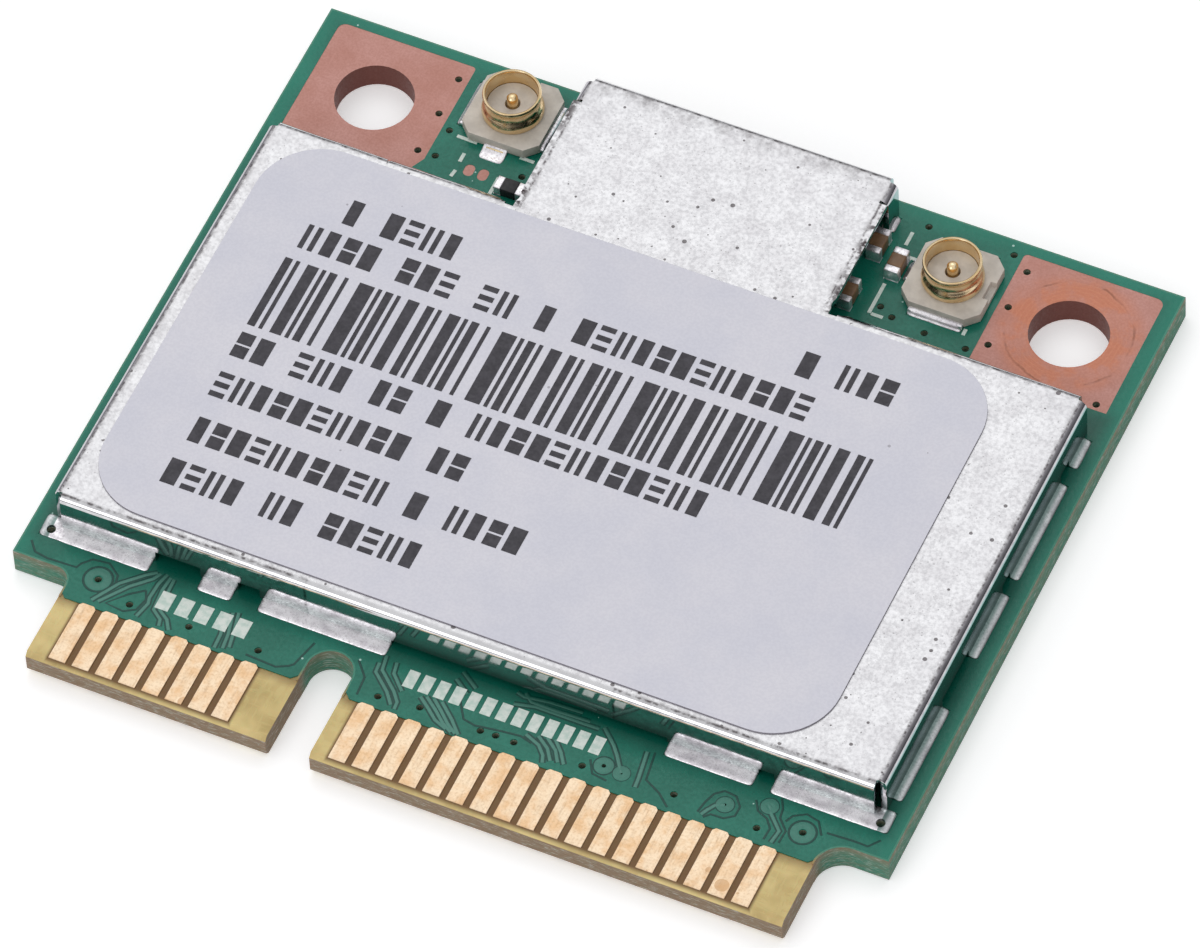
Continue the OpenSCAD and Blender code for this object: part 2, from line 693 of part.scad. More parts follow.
// One printed block in five plain forms: narrow, wide, split upright, split level, three bars
module block(kind) {
    w = 0.74 * block_pitch;
    bar = w * 0.34;
    level = block_h * 0.2;
    if (kind == 0) translate([0.1 * w, 0]) square([0.8 * w, block_h]);
    if (kind == 1) square([w, block_h]);
    if (kind == 2) for (x = [0, w - bar]) translate([x, 0]) square([bar, block_h]);
    if (kind == 3) for (y = [0, 0.54]) translate([0, y * block_h]) square([w, 0.46 * block_h]);
    if (kind == 4) for (y = [0, 0.4, 0.8]) translate([0, y * block_h]) square([w, level]);
}

// One row of plain blocks in groups, with a blank block between the groups
module block_row(counts, turn) {
    for (g = [0 : len(counts) - 1], i = [0 : counts[g] - 1])
        translate([(sum_to(counts, g) + g + i) * block_pitch, 0]) block((3 * i + g + turn) % 5);
}

// Widths of the repeated bars and gaps taken one after the other
bar_steps = [for (b = BARS) (b[0] + b[1]) * bar_unit];
bars_period = sum_to(bar_steps, len(BARS));
module bars() {
    for (k = [0 : floor((bars_right - bars_left) / bars_period)], i = [0 : len(BARS) - 1]) {
        x = bars_left + k * bars_period + sum_to(bar_steps, i);
        if (x + BARS[i][0] * bar_unit <= bars_right)
            translate([x, bars_y]) square([BARS[i][0] * bar_unit, bars_h]);
    }
}

module label_print() {
    color("dimgray") translate([label_mid[0], label_mid[1], can_z + label_t])
        linear_extrude(print_t) {
            for (i = [0 : len(ROWS) - 1]) translate(ROWS[i][0]) block_row(ROWS[i][1], i);
            bars();
        }
}

// A straight stroke between two points
module stroke(a, b) {
    d = b - a;
    translate(a) rotate(atan2(d[1], d[0])) translate([0, -mark_w / 2]) square([norm(d), mark_w]);
}

module silkscreen() {
    color("white") translate([0, 0, board_t]) linear_extrude(mark_t) {
        for (row = LEGEND, i = [0 : row[1] - 1])
            translate([row[0][0] + i * row[2], can_front_y + row[0][1]])
                square([0.68 * row[2], row[3]]);
        for (m = LEFT_MARKS) stroke(left_at + m[0], left_at + m[1]);
        for (m = RIGHT_MARKS) stroke(right_at + m[0], right_at + m[1]);
    }
}

module bare_pads() {
    color("rosybrown") translate([0, 0, floor_z]) linear_extrude(foil_t) spare_spots();
}
module test_pads() {
    color("rosybrown") translate([0, 0, mask_t - foil_t]) linear_extrude(foil_t) test_spots();
}

// Receptacle: levels above the solder
lug_t = 0.12;
tail_t = 0.07;
ring_seat = seat_z + 0.1;
core_z = seat_z + house_h + 0.03;

// Octagonal outline of the housing
module house_outline() {
    h = house_w / 2;
    c = h - house_chamfer;
    polygon([[h, c], [c, h], [-c, h], [-h, c], [-h, -c], [-c, -h], [c, -h], [h, -c]]);
}

module receptacle_housing() {
    color("linen") difference() {
        union() {
            translate([0, 0, seat_z]) linear_extrude(house_h) house_outline();
            translate([0, 0, seat_z]) cylinder(h = core_z - seat_z, r = ring_r - ring_wall);
        }
        translate([0, 0, ring_seat]) difference() {
            cylinder(h = house_h, r = ring_r);
            translate([0, 0, -1]) cylinder(h = 2 + house_h, r = ring_r - ring_wall);
        }
        translate([0, 0, seat_z - 1]) linear_extrude(1 + lug_t) lug_area();
        translate([0, 0, seat_z - 1]) linear_extrude(1 + tail_t) tail_area();
        cylinder(h = 4 * board_t, r = pin_r + 0.07);
        translate([house_w / 2 - 0.2, -0.35, seat_z + 0.15]) cube([1, 0.7, house_h]);
    }
}

// Contact ring with its groove and rounded rim, in one piece with the ground lugs
module receptacle_ring() {
    top = seat_z + ring_h;
    r_in = ring_r - ring_wall;
    groove = 0.05;
    color("goldenrod") union() {
        rotate_extrude() polygon([
            [r_in, ring_seat], [ring_r, ring_seat], [ring_r, seat_z + house_h + 0.16],
            [ring_r - groove, seat_z + house_h + 0.2], [ring_r - groove, top - 0.32],
            [ring_r, top - 0.2], [ring_r, top - 0.04], [ring_r - 0.03, top],
            [r_in + 0.03, top], [r_in, top - 0.04]]);
        translate([0, 0, seat_z]) linear_extrude(lug_t) intersection() {
            lug_area();
            difference() {
                square(4, center = true);
                circle(r_in);
            }
        }
    }
}

// Centre contact: flared foot, round-ended pin and flat tail
module receptacle_pin() {
    foot_r = pin_r + 0.07;
    top = seat_z + pin_h;
    tip_r = 0.08;
    color("goldenrod") {
        rotate_extrude() polygon([[0, seat_z], [foot_r, seat_z], [foot_r, core_z],
            [pin_r, core_z + 0.15], [pin_r, top - tip_r], [pin_r - tip_r, top], [0, top]]);
        translate([0, 0, seat_z]) linear_extrude(tail_t) tail_area();
    }
}

module receptacle_housing_left() { at_left() receptacle_housing(); }
module receptacle_housing_right() { at_right() receptacle_housing(); }
module receptacle_ring_left() { at_left() receptacle_ring(); }
module receptacle_ring_right() { at_right() receptacle_ring(); }
module receptacle_pin_left() { at_left() receptacle_pin(); }
module receptacle_pin_right() { at_right() receptacle_pin(); }

module receptacle_joints() {
    translate([0, 0, floor_z]) linear_extrude(mask_t + paste_t) receptacle_pads();
}
module receptacle_solder() {
    color("lightgray") {
        at_left() receptacle_joints();
        at_right() receptacle_joints();
    }
}

module component_solder() {
    color("lightgray") translate([0, 0, floor_z])
        linear_extrude(mask_t + paste_t) component_lands();
}

// A package body standing on the solder
module package(at, size) {
    translate([at[0], at[1], seat_z + size[2] / 2]) cube(size, center = true);
}

// Leads flush with the underside of a package
module flat_leads(at) {
    translate([at[0], at[1], seat_z]) linear_extrude(lead_t) children();
}

module radio_chip() {
    color("dimgray") difference() {
        package(radio_at, radio_size);
        flat_leads(radio_at) radio_lead_area();
    }
}
module radio_chip_leads() { color("silver") flat_leads(radio_at) radio_lead_area(); }
module memory_chip() {
    color("dimgray") difference() {
        package(memory_at, memory_size);
        flat_leads(memory_at) memory_lead_area();
    }
}
module memory_chip_leads() { color("silver") flat_leads(memory_at) memory_lead_area(); }
module regulator() { color("dimgray") package(regulator_at, regulator_size); }
module regulator_leads() {
    color("silver") flat_leads(regulator_at) regulator_lead_area();
}
module front_end_left() { color("dimgray") package(front_end_left_at, front_end_size); }
module front_end_right() { color("dimgray") package(front_end_right_at, front_end_size); }
module crystal_base() { color("tan") package(crystal_at, crystal_size); }
module crystal_lid() {
    color("silver") translate([0, 0, crystal_size[2]]) package(crystal_at, crystal_lid_size);
}
module two_ended_body(size) {
    translate([0, 0, seat_z + size[2] / 2])
        cube([size[0] - 2 * end_l, size[1], size[2]], center = true);
}
module two_ended_ends(size) {
    translate([0, 0, seat_z]) linear_extrude(size[2]) end_areas(size);
}
module power_inductor() {
    color("gray") translate([inductor_at[0], inductor_at[1], 0]) two_ended_body(inductor_size);
}
module power_inductor_ends() {
    color("silver") translate([inductor_at[0], inductor_at[1], 0]) two_ended_ends(inductor_size);
}
module band_filters() { color("white") at_filters() package([0, 0], filter_size); }
module capacitors() { color("peru") at_caps() two_ended_body(cap_size); }
module capacitor_ends() { color("silver") at_caps() two_ended_ends(cap_size); }
module resistors() { color("black") at_resistors() two_ended_body(res_size); }
module resistor_ends() { color("silver") at_resistors() two_ended_ends(res_size); }

board();
solder_mask_top();
solder_mask_bottom();
silkscreen();
edge_contacts_top();
edge_contacts_bottom();
mounting_land_left();
mounting_land_right();
shield_can();
shield_solder();
label();
label_print();
receptacle_housing_left();
receptacle_housing_right();
receptacle_ring_left();
receptacle_ring_right();
receptacle_pin_left();
receptacle_pin_right();
receptacle_solder();
bare_pads();
test_pads();
component_solder();
radio_chip();
radio_chip_leads();
front_end_left();
front_end_right();
memory_chip();
memory_chip_leads();
regulator();
regulator_leads();
crystal_base();
crystal_lid();
power_inductor();
power_inductor_ends();
band_filters();
capacitors();
capacitor_ends();
resistors();
resistor_ends();
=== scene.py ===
import json
import math

import bmesh
import bpy
from mathutils import Matrix, Vector


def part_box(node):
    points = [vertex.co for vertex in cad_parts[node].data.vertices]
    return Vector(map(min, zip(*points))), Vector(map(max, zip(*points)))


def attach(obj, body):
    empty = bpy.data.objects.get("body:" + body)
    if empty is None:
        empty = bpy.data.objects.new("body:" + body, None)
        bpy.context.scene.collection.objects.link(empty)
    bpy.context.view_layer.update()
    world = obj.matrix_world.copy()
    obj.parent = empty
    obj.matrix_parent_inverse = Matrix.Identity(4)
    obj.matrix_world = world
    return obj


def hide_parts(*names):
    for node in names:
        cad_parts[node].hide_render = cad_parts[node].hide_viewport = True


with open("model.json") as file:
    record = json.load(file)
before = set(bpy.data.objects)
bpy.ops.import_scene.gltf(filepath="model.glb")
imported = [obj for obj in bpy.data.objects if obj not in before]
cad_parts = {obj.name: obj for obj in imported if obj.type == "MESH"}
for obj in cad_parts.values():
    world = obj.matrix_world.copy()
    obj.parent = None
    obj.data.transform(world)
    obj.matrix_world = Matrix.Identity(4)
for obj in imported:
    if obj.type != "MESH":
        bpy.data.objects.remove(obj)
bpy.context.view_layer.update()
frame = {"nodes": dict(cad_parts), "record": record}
cadNodes = frame["nodes"]
mm = 0.001
quarterTurn = math.pi / 2

weld = 0.0005 * mm  # points nearer than this are one point
boardLow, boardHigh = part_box("board")
canLow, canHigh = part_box("shield_can")
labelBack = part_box("label")[1].y
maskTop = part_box("solder_mask_top")[1].z
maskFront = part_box("solder_mask_top")[0].y


# Boxes of the separate solids of a CAD node
def islandBoxes(nodeName):
    sheet = bmesh.new()
    sheet.from_mesh(cadNodes[nodeName].data)
    bmesh.ops.remove_doubles(sheet, verts=sheet.verts, dist=weld)
    waiting = set(sheet.verts)
    boxes = []
    for seed in sheet.verts:
        if seed not in waiting:
            continue
        waiting.remove(seed)
        group = [seed]
        for vertex in group:
            for edge in vertex.link_edges:
                other = edge.other_vert(vertex)
                if other in waiting:
                    waiting.remove(other)
                    group.append(other)
        low = Vector([min(vertex.co[axis] for vertex in group) for axis in range(3)])
        high = Vector([max(vertex.co[axis] for vertex in group) for axis in range(3)])
        boxes.append((low, high))
    sheet.free()
    return boxes


# The can is a main body with a narrower tab behind it
tabStart = labelBack + 2 * mm
outerSide = 10 * mm  # past the sides of the tab
canPoints = [vertex.co for vertex in cadNodes["shield_can"].data.vertices]
tabPoints = [point.x for point in canPoints if point.y > tabStart]
tabLeft, tabRight = min(tabPoints), max(tabPoints)
bodyBack = max(point.y for point in canPoints if abs(point.x) > outerSide)

# Contacts stand in two rows, with the key notch between them
contactBoxes = sorted(islandBoxes("edge_contacts_top"), key=lambda box: box[0].x)
contactFront = contactBoxes[0][0].y
contactRows = [[contactBoxes[0][0].x, contactBoxes[0][1].x]]
for low, high in contactBoxes[1:]:
    if low.x - contactRows[-1][1] > mm:
        contactRows.append([low.x, high.x])
    contactRows[-1][1] = high.x
print("frame loaded with", len(cadNodes), "CAD nodes and", len(contactBoxes), "contacts on top")


# A colour given as it should look on screen
def tint(red, green, blue):
    def channel(value):
        return value / 12.92 if value <= 0.04045 else ((value + 0.055) / 1.055) ** 2.4
    return (channel(red), channel(green), channel(blue), 1.0)


# A node with its settings; an input is a value or the socket that feeds it
def addNode(tree, kind, inputs=None, **settings):
    node = tree.nodes.new(kind)
    for key, value in settings.items():
        setattr(node, key, value)
    for key, value in (inputs or {}).items():
        if isinstance(value, bpy.types.NodeSocket):
            tree.links.new(value, node.inputs[key])
        else:
            node.inputs[key].default_value = value
    return node


def calc(tree, operation, first, second=0.0):
    return addNode(tree, "ShaderNodeMath", {0: first, 1: second}, operation=operation).outputs[0]


def product(tree, first, *others):
    for other in others:
        first = calc(tree, "MULTIPLY", first, other)
    return first


def remap(tree, value, low, high, outLow=0.0, outHigh=1.0):
    return addNode(tree, "ShaderNodeMapRange", {
        0: value, 1: low, 2: high, 3: outLow, 4: outHigh}, interpolation_type="SMOOTHSTEP").outputs[0]


def blendColor(tree, factor, first, second):
    return addNode(tree, "ShaderNodeMix", {0: factor, 6: first, 7: second}, data_type="RGBA").outputs[2]


# Lays a screen colour over another one by a mask; amount thins the mask
def paint(tree, color, mask, over, amount=1.0):
    if amount != 1.0:
        mask = calc(tree, "MULTIPLY", mask, amount)
    return blendColor(tree, mask, color, tint(*over))


# A new node group with its sockets; returns the tree, its input node and its output node
def newGroup(name, inputs, outputs):
    tree = bpy.data.node_groups.new(name, "ShaderNodeTree")
    tree.interface.new_socket(name="Vector", in_out="INPUT", socket_type="NodeSocketVector")
    for socketName, value in inputs.items():
        socket = tree.interface.new_socket(name=socketName, in_out="INPUT",
                                           socket_type="NodeSocketFloat")
        socket.default_value = value
    for socketName in outputs:
        tree.interface.new_socket(name=socketName, in_out="OUTPUT", socket_type="NodeSocketFloat")
    return tree, tree.nodes.new("NodeGroupInput").outputs, tree.nodes.new("NodeGroupOutput").inputs


# Cloudy variation: a soft value and a mask cut between two levels
def makeGrainGroup():
    tree, given, result = newGroup(
        "cloudyGrain", {"Scale": 5.0, "Detail": 3.0, "Low": 0.4, "High": 0.6}, ["Value", "Mask"])
    noise = addNode(tree, "ShaderNodeTexNoise", {
        "Vector": given["Vector"], "Scale": given["Scale"], "Detail": given["Detail"],
        "Roughness": 0.6})
    tree.links.new(noise.outputs["Fac"], result["Value"])
    tree.links.new(remap(tree, noise.outputs["Fac"], given["Low"], given["High"]), result["Mask"])
    return tree


# Small round pits or specks, thinned out by a broader pattern
def makeSpeckGroup():
    tree, given, result = newGroup(
        "scatteredSpecks", {"Scale": 5.0, "Size": 0.2, "Cover": 0.5}, ["Mask"])
    cells = addNode(tree, "ShaderNodeTexVoronoi", {
        "Vector": given["Vector"], "Scale": given["Scale"]})
    broad = addNode(tree, "ShaderNodeTexNoise", {
        "Vector": given["Vector"], "Scale": calc(tree, "MULTIPLY", given["Scale"], 0.31),
        "Detail": 2.0})
    reach = calc(tree, "MULTIPLY", given["Size"], cells.outputs["Color"])
    dot = calc(tree, "LESS_THAN", cells.outputs["Distance"], reach)
    kept = calc(tree, "LESS_THAN", broad.outputs["Fac"], given["Cover"])
    tree.links.new(calc(tree, "MULTIPLY", dot, kept), result["Mask"])
    return tree


# Fine lines drawn out along one direction
def makeScratchGroup():
    tree, given, result = newGroup(
        "fineScratches", {"Turn": 0.0, "Across": 8.0, "Along": 0.5, "Level": 0.62},
        ["Mask", "Value"])
    angle = addNode(tree, "ShaderNodeCombineXYZ", {"Z": given["Turn"]})
    stretch = addNode(tree, "ShaderNodeCombineXYZ", {
        "X": given["Along"], "Y": given["Across"], "Z": given["Across"]})
    turned = addNode(tree, "ShaderNodeMapping", {
        "Vector": given["Vector"], "Rotation": angle.outputs[0]})
    drawn = addNode(tree, "ShaderNodeMapping", {
        "Vector": turned.outputs[0], "Scale": stretch.outputs[0]})
    noise = addNode(tree, "ShaderNodeTexNoise", {
        "Vector": drawn.outputs[0], "Scale": 1.0, "Detail": 2.0})
    top = calc(tree, "ADD", given["Level"], 0.05)
    tree.links.new(remap(tree, noise.outputs["Fac"], given["Level"], top), result["Mask"])
    tree.links.new(noise.outputs["Fac"], result["Value"])
    return tree


# Distance in plan, in millimetres, to the nearest side of a rectangle; positive inside it
def makeEdgeGroup():
    tree, given, result = newGroup(
        "edgeDistance", {"Left": 0.0, "Right": 1.0, "Front": 0.0, "Back": 1.0}, ["Distance"])
    place = addNode(tree, "ShaderNodeSeparateXYZ", {"Vector": given["Vector"]}).outputs
    across = calc(tree, "MINIMUM", calc(tree, "SUBTRACT", place["X"], given["Left"]),
                  calc(tree, "SUBTRACT", given["Right"], place["X"]))
    along = calc(tree, "MINIMUM", calc(tree, "SUBTRACT", place["Y"], given["Front"]),
                 calc(tree, "SUBTRACT", given["Back"], place["Y"]))
    tree.links.new(calc(tree, "MINIMUM", across, along), result["Distance"])
    return tree


grainGroup = makeGrainGroup()
speckGroup = makeSpeckGroup()
scratchGroup = makeScratchGroup()
edgeGroup = makeEdgeGroup()


def placeGroup(tree, group, inputs):
    return addNode(tree, "ShaderNodeGroup", inputs, node_tree=group).outputs


def grain(tree, place, scale, low=0.4, high=0.6, detail=3.0):
    return placeGroup(tree, grainGroup, {
        "Vector": place, "Scale": scale, "Low": low, "High": high, "Detail": detail})


def specks(tree, place, scale, size, cover):
    return placeGroup(tree, speckGroup, {
        "Vector": place, "Scale": scale, "Size": size, "Cover": cover})["Mask"]


def scratches(tree, place, across, along, level, turn=0.0):
    return placeGroup(tree, scratchGroup, {
        "Vector": place, "Across": across, "Along": along, "Level": level, "Turn": turn})


# How far inside a rectangle a point lies; the sides come in metres
def inset(tree, place, left, right, front, back):
    return placeGroup(tree, edgeGroup, {
        "Vector": place, "Left": left / mm, "Right": right / mm, "Front": front / mm,
        "Back": back / mm})["Distance"]


def coordinate(tree, place, axis):
    return addNode(tree, "ShaderNodeSeparateXYZ", {"Vector": place}).outputs[axis]


# How squarely a face looks along an axis, either way; 1 when straight along it
def facing(tree, axis):
    geometry = addNode(tree, "ShaderNodeNewGeometry")
    return calc(tree, "ABSOLUTE", coordinate(tree, geometry.outputs["Normal"], axis))


# A material with its tree, its shader and its coordinates in millimetres
def startMaterial(name):
    made = bpy.data.materials.new(name)
    made.use_nodes = True
    tree = made.node_tree
    coordinates = addNode(tree, "ShaderNodeTexCoord")
    inMillimetres = addNode(tree, "ShaderNodeMapping", {
        "Vector": coordinates.outputs["Object"], "Scale": (1 / mm, 1 / mm, 1 / mm)})
    return made, tree, tree.nodes["Principled BSDF"], inMillimetres.outputs[0]


def setShader(shader, **values):
    for key, value in values.items():
        shader.inputs[key.replace("_", " ")].default_value = value


# Feeds the shader; strength and depth, in millimetres, are those of the bumps
def feed(tree, shader, color, roughness, height, strength, depth):
    tree.links.new(color, shader.inputs["Base Color"])
    tree.links.new(roughness, shader.inputs["Roughness"])
    bump = addNode(tree, "ShaderNodeBump", {
        "Height": height, "Strength": strength, "Distance": depth * mm})
    tree.links.new(bump.outputs[0], shader.inputs["Normal"])


# Roughness that follows a soft value between two levels
def unevenGloss(tree, value, smooth, rough):
    return remap(tree, value, 0.3, 0.7, smooth, rough)


lacquerLook = {
    "base": (0.03, 0.42, 0.345), "pale": (0.09, 0.48, 0.40), "deep": (0.01, 0.27, 0.22),
    "rim": (0.02, 0.50, 0.41), "onCopper": (0.42, 0.60, 0.55), "inGap": (0.0, 0.23, 0.20),
    "dust": (0.75, 0.88, 0.84), "smooth": 0.24, "rough": 0.4, "shadeReach": 0.9}


# Green lacquer; lift makes it paler, as over copper, and below zero darker, as in a gap
def makeLacquer(name, lift=0.0):
    made, tree, shader, place = startMaterial(name)
    look = lacquerLook
    broad = grain(tree, place, scale=0.45, low=0.35, high=0.7)
    fine = grain(tree, place, scale=9.0, detail=4.0)
    color = paint(tree, tint(*look["base"]), broad["Mask"], look["pale"])
    color = paint(tree, color, fine["Mask"], look["deep"], 0.2)
    toRim = inset(tree, place, boardLow.x, boardHigh.x, boardLow.y, boardHigh.y)
    color = paint(tree, color, remap(tree, toRim, 0.7, 0.1), look["rim"], 0.6)
    if lift > 0:
        color = blendColor(tree, lift, color, tint(*look["onCopper"]))
    if lift < 0:
        color = blendColor(tree, -lift, color, tint(*look["inGap"]))
    # Painted shade: on the top side the lacquer darkens to the deep green toward the can and under it.
    toCan = inset(tree, place, canLow.x, canHigh.x, canLow.y, bodyBack)
    paintedCanShade = remap(tree, toCan, -look["shadeReach"], -0.05)
    onTop = remap(tree, coordinate(tree, place, "Z"), 0.4, 0.6)
    color = paint(tree, color, calc(tree, "MULTIPLY", paintedCanShade, onTop), look["deep"], 0.7)
    dust = specks(tree, place, scale=1.6, size=0.09, cover=0.5)
    color = paint(tree, color, dust, look["dust"], 0.8)
    weave = scratches(tree, place, across=3.0, along=3.0, level=0.5)
    feed(tree, shader, color, unevenGloss(tree, fine["Value"], look["smooth"], look["rough"]),
         calc(tree, "ADD", weave["Value"], fine["Value"]), strength=0.25, depth=0.012)
    setShader(shader, Specular_IOR_Level=0.28, Coat_Weight=0.1, Coat_Roughness=0.12)
    return made


laminateLook = {
    "face": (0.88, 0.79, 0.53), "deep": (0.72, 0.62, 0.37), "thread": (0.88, 0.82, 0.56),
    "gap": (0.43, 0.29, 0.07), "cut": (0.56, 0.48, 0.39), "cutGreen": (0.22, 0.52, 0.43),
    "layer": (0.50, 0.40, 0.30), "fibre": (0.84, 0.86, 0.82), "layerStretch": 9.0}


def makeLaminate():
    made, tree, shader, place = startMaterial("glassLaminate")
    look = laminateLook
    cloud = grain(tree, place, scale=0.5, low=0.3, high=0.75)
    face = paint(tree, tint(*look["face"]), cloud["Mask"], look["deep"])
    warp = scratches(tree, place, across=7.0, along=1.2, level=0.55)
    weft = scratches(tree, place, across=7.0, along=1.2, level=0.55, turn=quarterTurn)
    threads = calc(tree, "MAXIMUM", warp["Mask"], weft["Mask"])
    face = paint(tree, face, threads, look["thread"], 0.18)
    # Painted shade: the laminate of each contact row, which shows between the contacts, is painted gap
    # brown.
    for rowLeft, rowRight in contactRows:
        row = inset(tree, place, rowLeft - 0.06 * mm, rowRight + 0.06 * mm,
                    contactFront - 0.05 * mm, maskFront + 0.2 * mm)
        face = paint(tree, face, remap(tree, row, -0.08, 0.06), look["gap"])
    y = coordinate(tree, place, "Y")
    front = maskFront / mm
    face = paint(tree, face, remap(tree, y, front - 0.45, front + 0.02), look["gap"], 0.6)
    behindTongue = remap(tree, y, front, front + 0.6)
    face = paint(tree, face, behindTongue, look["cutGreen"])

    # The cut sides show the layers, green behind the tongue
    layers = addNode(tree, "ShaderNodeMapping", {
        "Vector": place, "Scale": (1.0, 1.0, look["layerStretch"])}).outputs[0]
    low = remap(tree, coordinate(tree, place, "Z"), 0.95, 0.55)
    green = calc(tree, "ADD", 0.35, calc(tree, "MULTIPLY", low, 0.6))
    cut = paint(tree, tint(*look["cut"]), calc(tree, "MULTIPLY", behindTongue, green),
                look["cutGreen"])
    ply = grain(tree, layers, scale=1.6, low=0.42, high=0.62, detail=5.0)
    cut = paint(tree, cut, ply["Mask"], look["layer"], 0.4)
    fibre = grain(tree, layers, scale=3.4, low=0.52, high=0.66, detail=6.0)
    cut = paint(tree, cut, fibre["Mask"], look["fibre"], 0.5)
    flat = remap(tree, facing(tree, "Z"), 0.4, 0.6)
    feed(tree, shader, blendColor(tree, flat, cut, face), remap(tree, flat, 0.0, 1.0, 0.75, 0.4),
         calc(tree, "ADD", ply["Value"], threads), strength=0.3, depth=0.02)
    setShader(shader, Subsurface_Weight=0.15, Subsurface_Scale=0.4 * mm)
    return made


goldLook = {
    "base": (0.93, 0.84, 0.72), "warm": (0.88, 0.73, 0.56), "stain": (0.72, 0.52, 0.30),
    "grain": (0.76, 0.62, 0.45), "metallic": 0.6}


def makeContactGold():
    made, tree, shader, place = startMaterial("contactGold")
    look = goldLook
    cloud = grain(tree, place, scale=1.7, low=0.35, high=0.7)
    color = paint(tree, tint(*look["base"]), cloud["Mask"], look["warm"])
    stain = specks(tree, place, scale=1.1, size=0.32, cover=0.42)
    color = paint(tree, color, stain, look["stain"], 0.5)
    fine = grain(tree, place, scale=12.0, low=0.46, high=0.66, detail=5.0)
    color = paint(tree, color, fine["Mask"], look["grain"], 0.35)
    wipe = scratches(tree, place, across=26.0, along=1.1, level=0.56, turn=quarterTurn)
    wiped = calc(tree, "ADD", wipe["Mask"], fine["Value"])
    feed(tree, shader, color, remap(tree, wiped, 0.2, 1.4, 0.34, 0.52),
         calc(tree, "ADD", wipe["Value"], fine["Value"]), strength=0.25, depth=0.006)
    setShader(shader, Metallic=look["metallic"])
    return made


copperLook = {
    "base": (0.73, 0.52, 0.47), "pink": (0.77, 0.57, 0.53), "grain": (0.66, 0.44, 0.37),
    "worn": (0.78, 0.49, 0.37), "shine": (0.86, 0.62, 0.48), "groove": (0.50, 0.31, 0.22),
    "barrelShade": (0.46, 0.25, 0.21), "metallic": 0.35, "wornFrom": 2.6, "wornFull": 1.8,
    "ringRate": 42.0, "holeFromSide": 2.825, "holeFromBack": 2.75}


# A screw head has polished the copper in rings round its hole
def wearRings(tree, place, color, hole):
    look = copperLook
    centred = addNode(tree, "ShaderNodeMapping", {
        "Vector": place, "Location": (-hole.x / mm, -hole.y / mm, 0.0)}).outputs[0]
    squares = [calc(tree, "POWER", coordinate(tree, centred, axis), 2.0) for axis in "XY"]
    radius = calc(tree, "SQRT", calc(tree, "ADD", *squares))
    waver = calc(tree, "SUBTRACT", grain(tree, place, scale=1.3)["Value"], 0.5)
    radius = calc(tree, "ADD", radius, calc(tree, "MULTIPLY", waver, 0.25))
    patchy = grain(tree, place, scale=1.1, low=0.38, high=0.6, detail=6.0)
    inside = calc(tree, "MULTIPLY", remap(tree, radius, look["wornFrom"], look["wornFull"]),
                  remap(tree, patchy["Mask"], 0.0, 1.0, 0.4, 1.0))
    rings = calc(tree, "SINE", calc(tree, "MULTIPLY", radius, look["ringRate"]))
    rings = calc(tree, "MULTIPLY", remap(tree, rings, 0.2, 1.0), inside)
    color = paint(tree, color, inside, look["worn"], 0.85)
    color = paint(tree, color, rings, look["shine"], 0.14)
    rim = calc(tree, "MULTIPLY", remap(tree, radius, 1.97, 2.03), remap(tree, radius, 2.1, 2.04))
    broken = grain(tree, place, scale=0.8, low=0.42, high=0.62, detail=6.0)
    color = paint(tree, color, calc(tree, "MULTIPLY", rim, broken["Mask"]), look["groove"], 0.6)
    return color, calc(tree, "MULTIPLY", rings, 0.5)


# Bare copper; wearAt is the middle of a hole with wear rings, or None
def makeCopper(name, wearAt=None):
    made, tree, shader, place = startMaterial(name)
    look = copperLook
    cloud = grain(tree, place, scale=0.7, low=0.3, high=0.7)
    fine = grain(tree, place, scale=14.0, detail=4.0)
    color = paint(tree, tint(*look["base"]), cloud["Mask"], look["pink"])
    color = paint(tree, color, fine["Mask"], look["grain"], 0.16)
    height = fine["Value"]
    if wearAt is not None:
        color, rings = wearRings(tree, place, color, wearAt)
        height = calc(tree, "ADD", height, rings)
    # Painted shade: the copper's side faces, such as the wall of a hole, are painted dark brown.
    flat = remap(tree, facing(tree, "Z"), 0.3, 0.7)
    color = blendColor(tree, flat, tint(*look["barrelShade"]), color)
    feed(tree, shader, color, unevenGloss(tree, fine["Value"], 0.45, 0.62), height,
         strength=0.3, depth=0.01)
    setShader(shader, Metallic=look["metallic"])
    return made


tinLook = {
    "base": (0.855, 0.855, 0.862), "dull": (0.77, 0.765, 0.775), "grain": (0.62, 0.61, 0.63),
    "darkening": (0.20, 0.15, 0.16), "edgeReach": 0.42, "backDarkReach": 0.9,
    "foldIn": 0.29, "foldMiddle": 0.2, "foldOut": 0.12,
    "bendReflection": (0.62, 0.60, 0.64), "sideReflection": (0.42, 0.64, 0.63), "footShadeAndReflection": (0.50, 0.55, 0.54)}
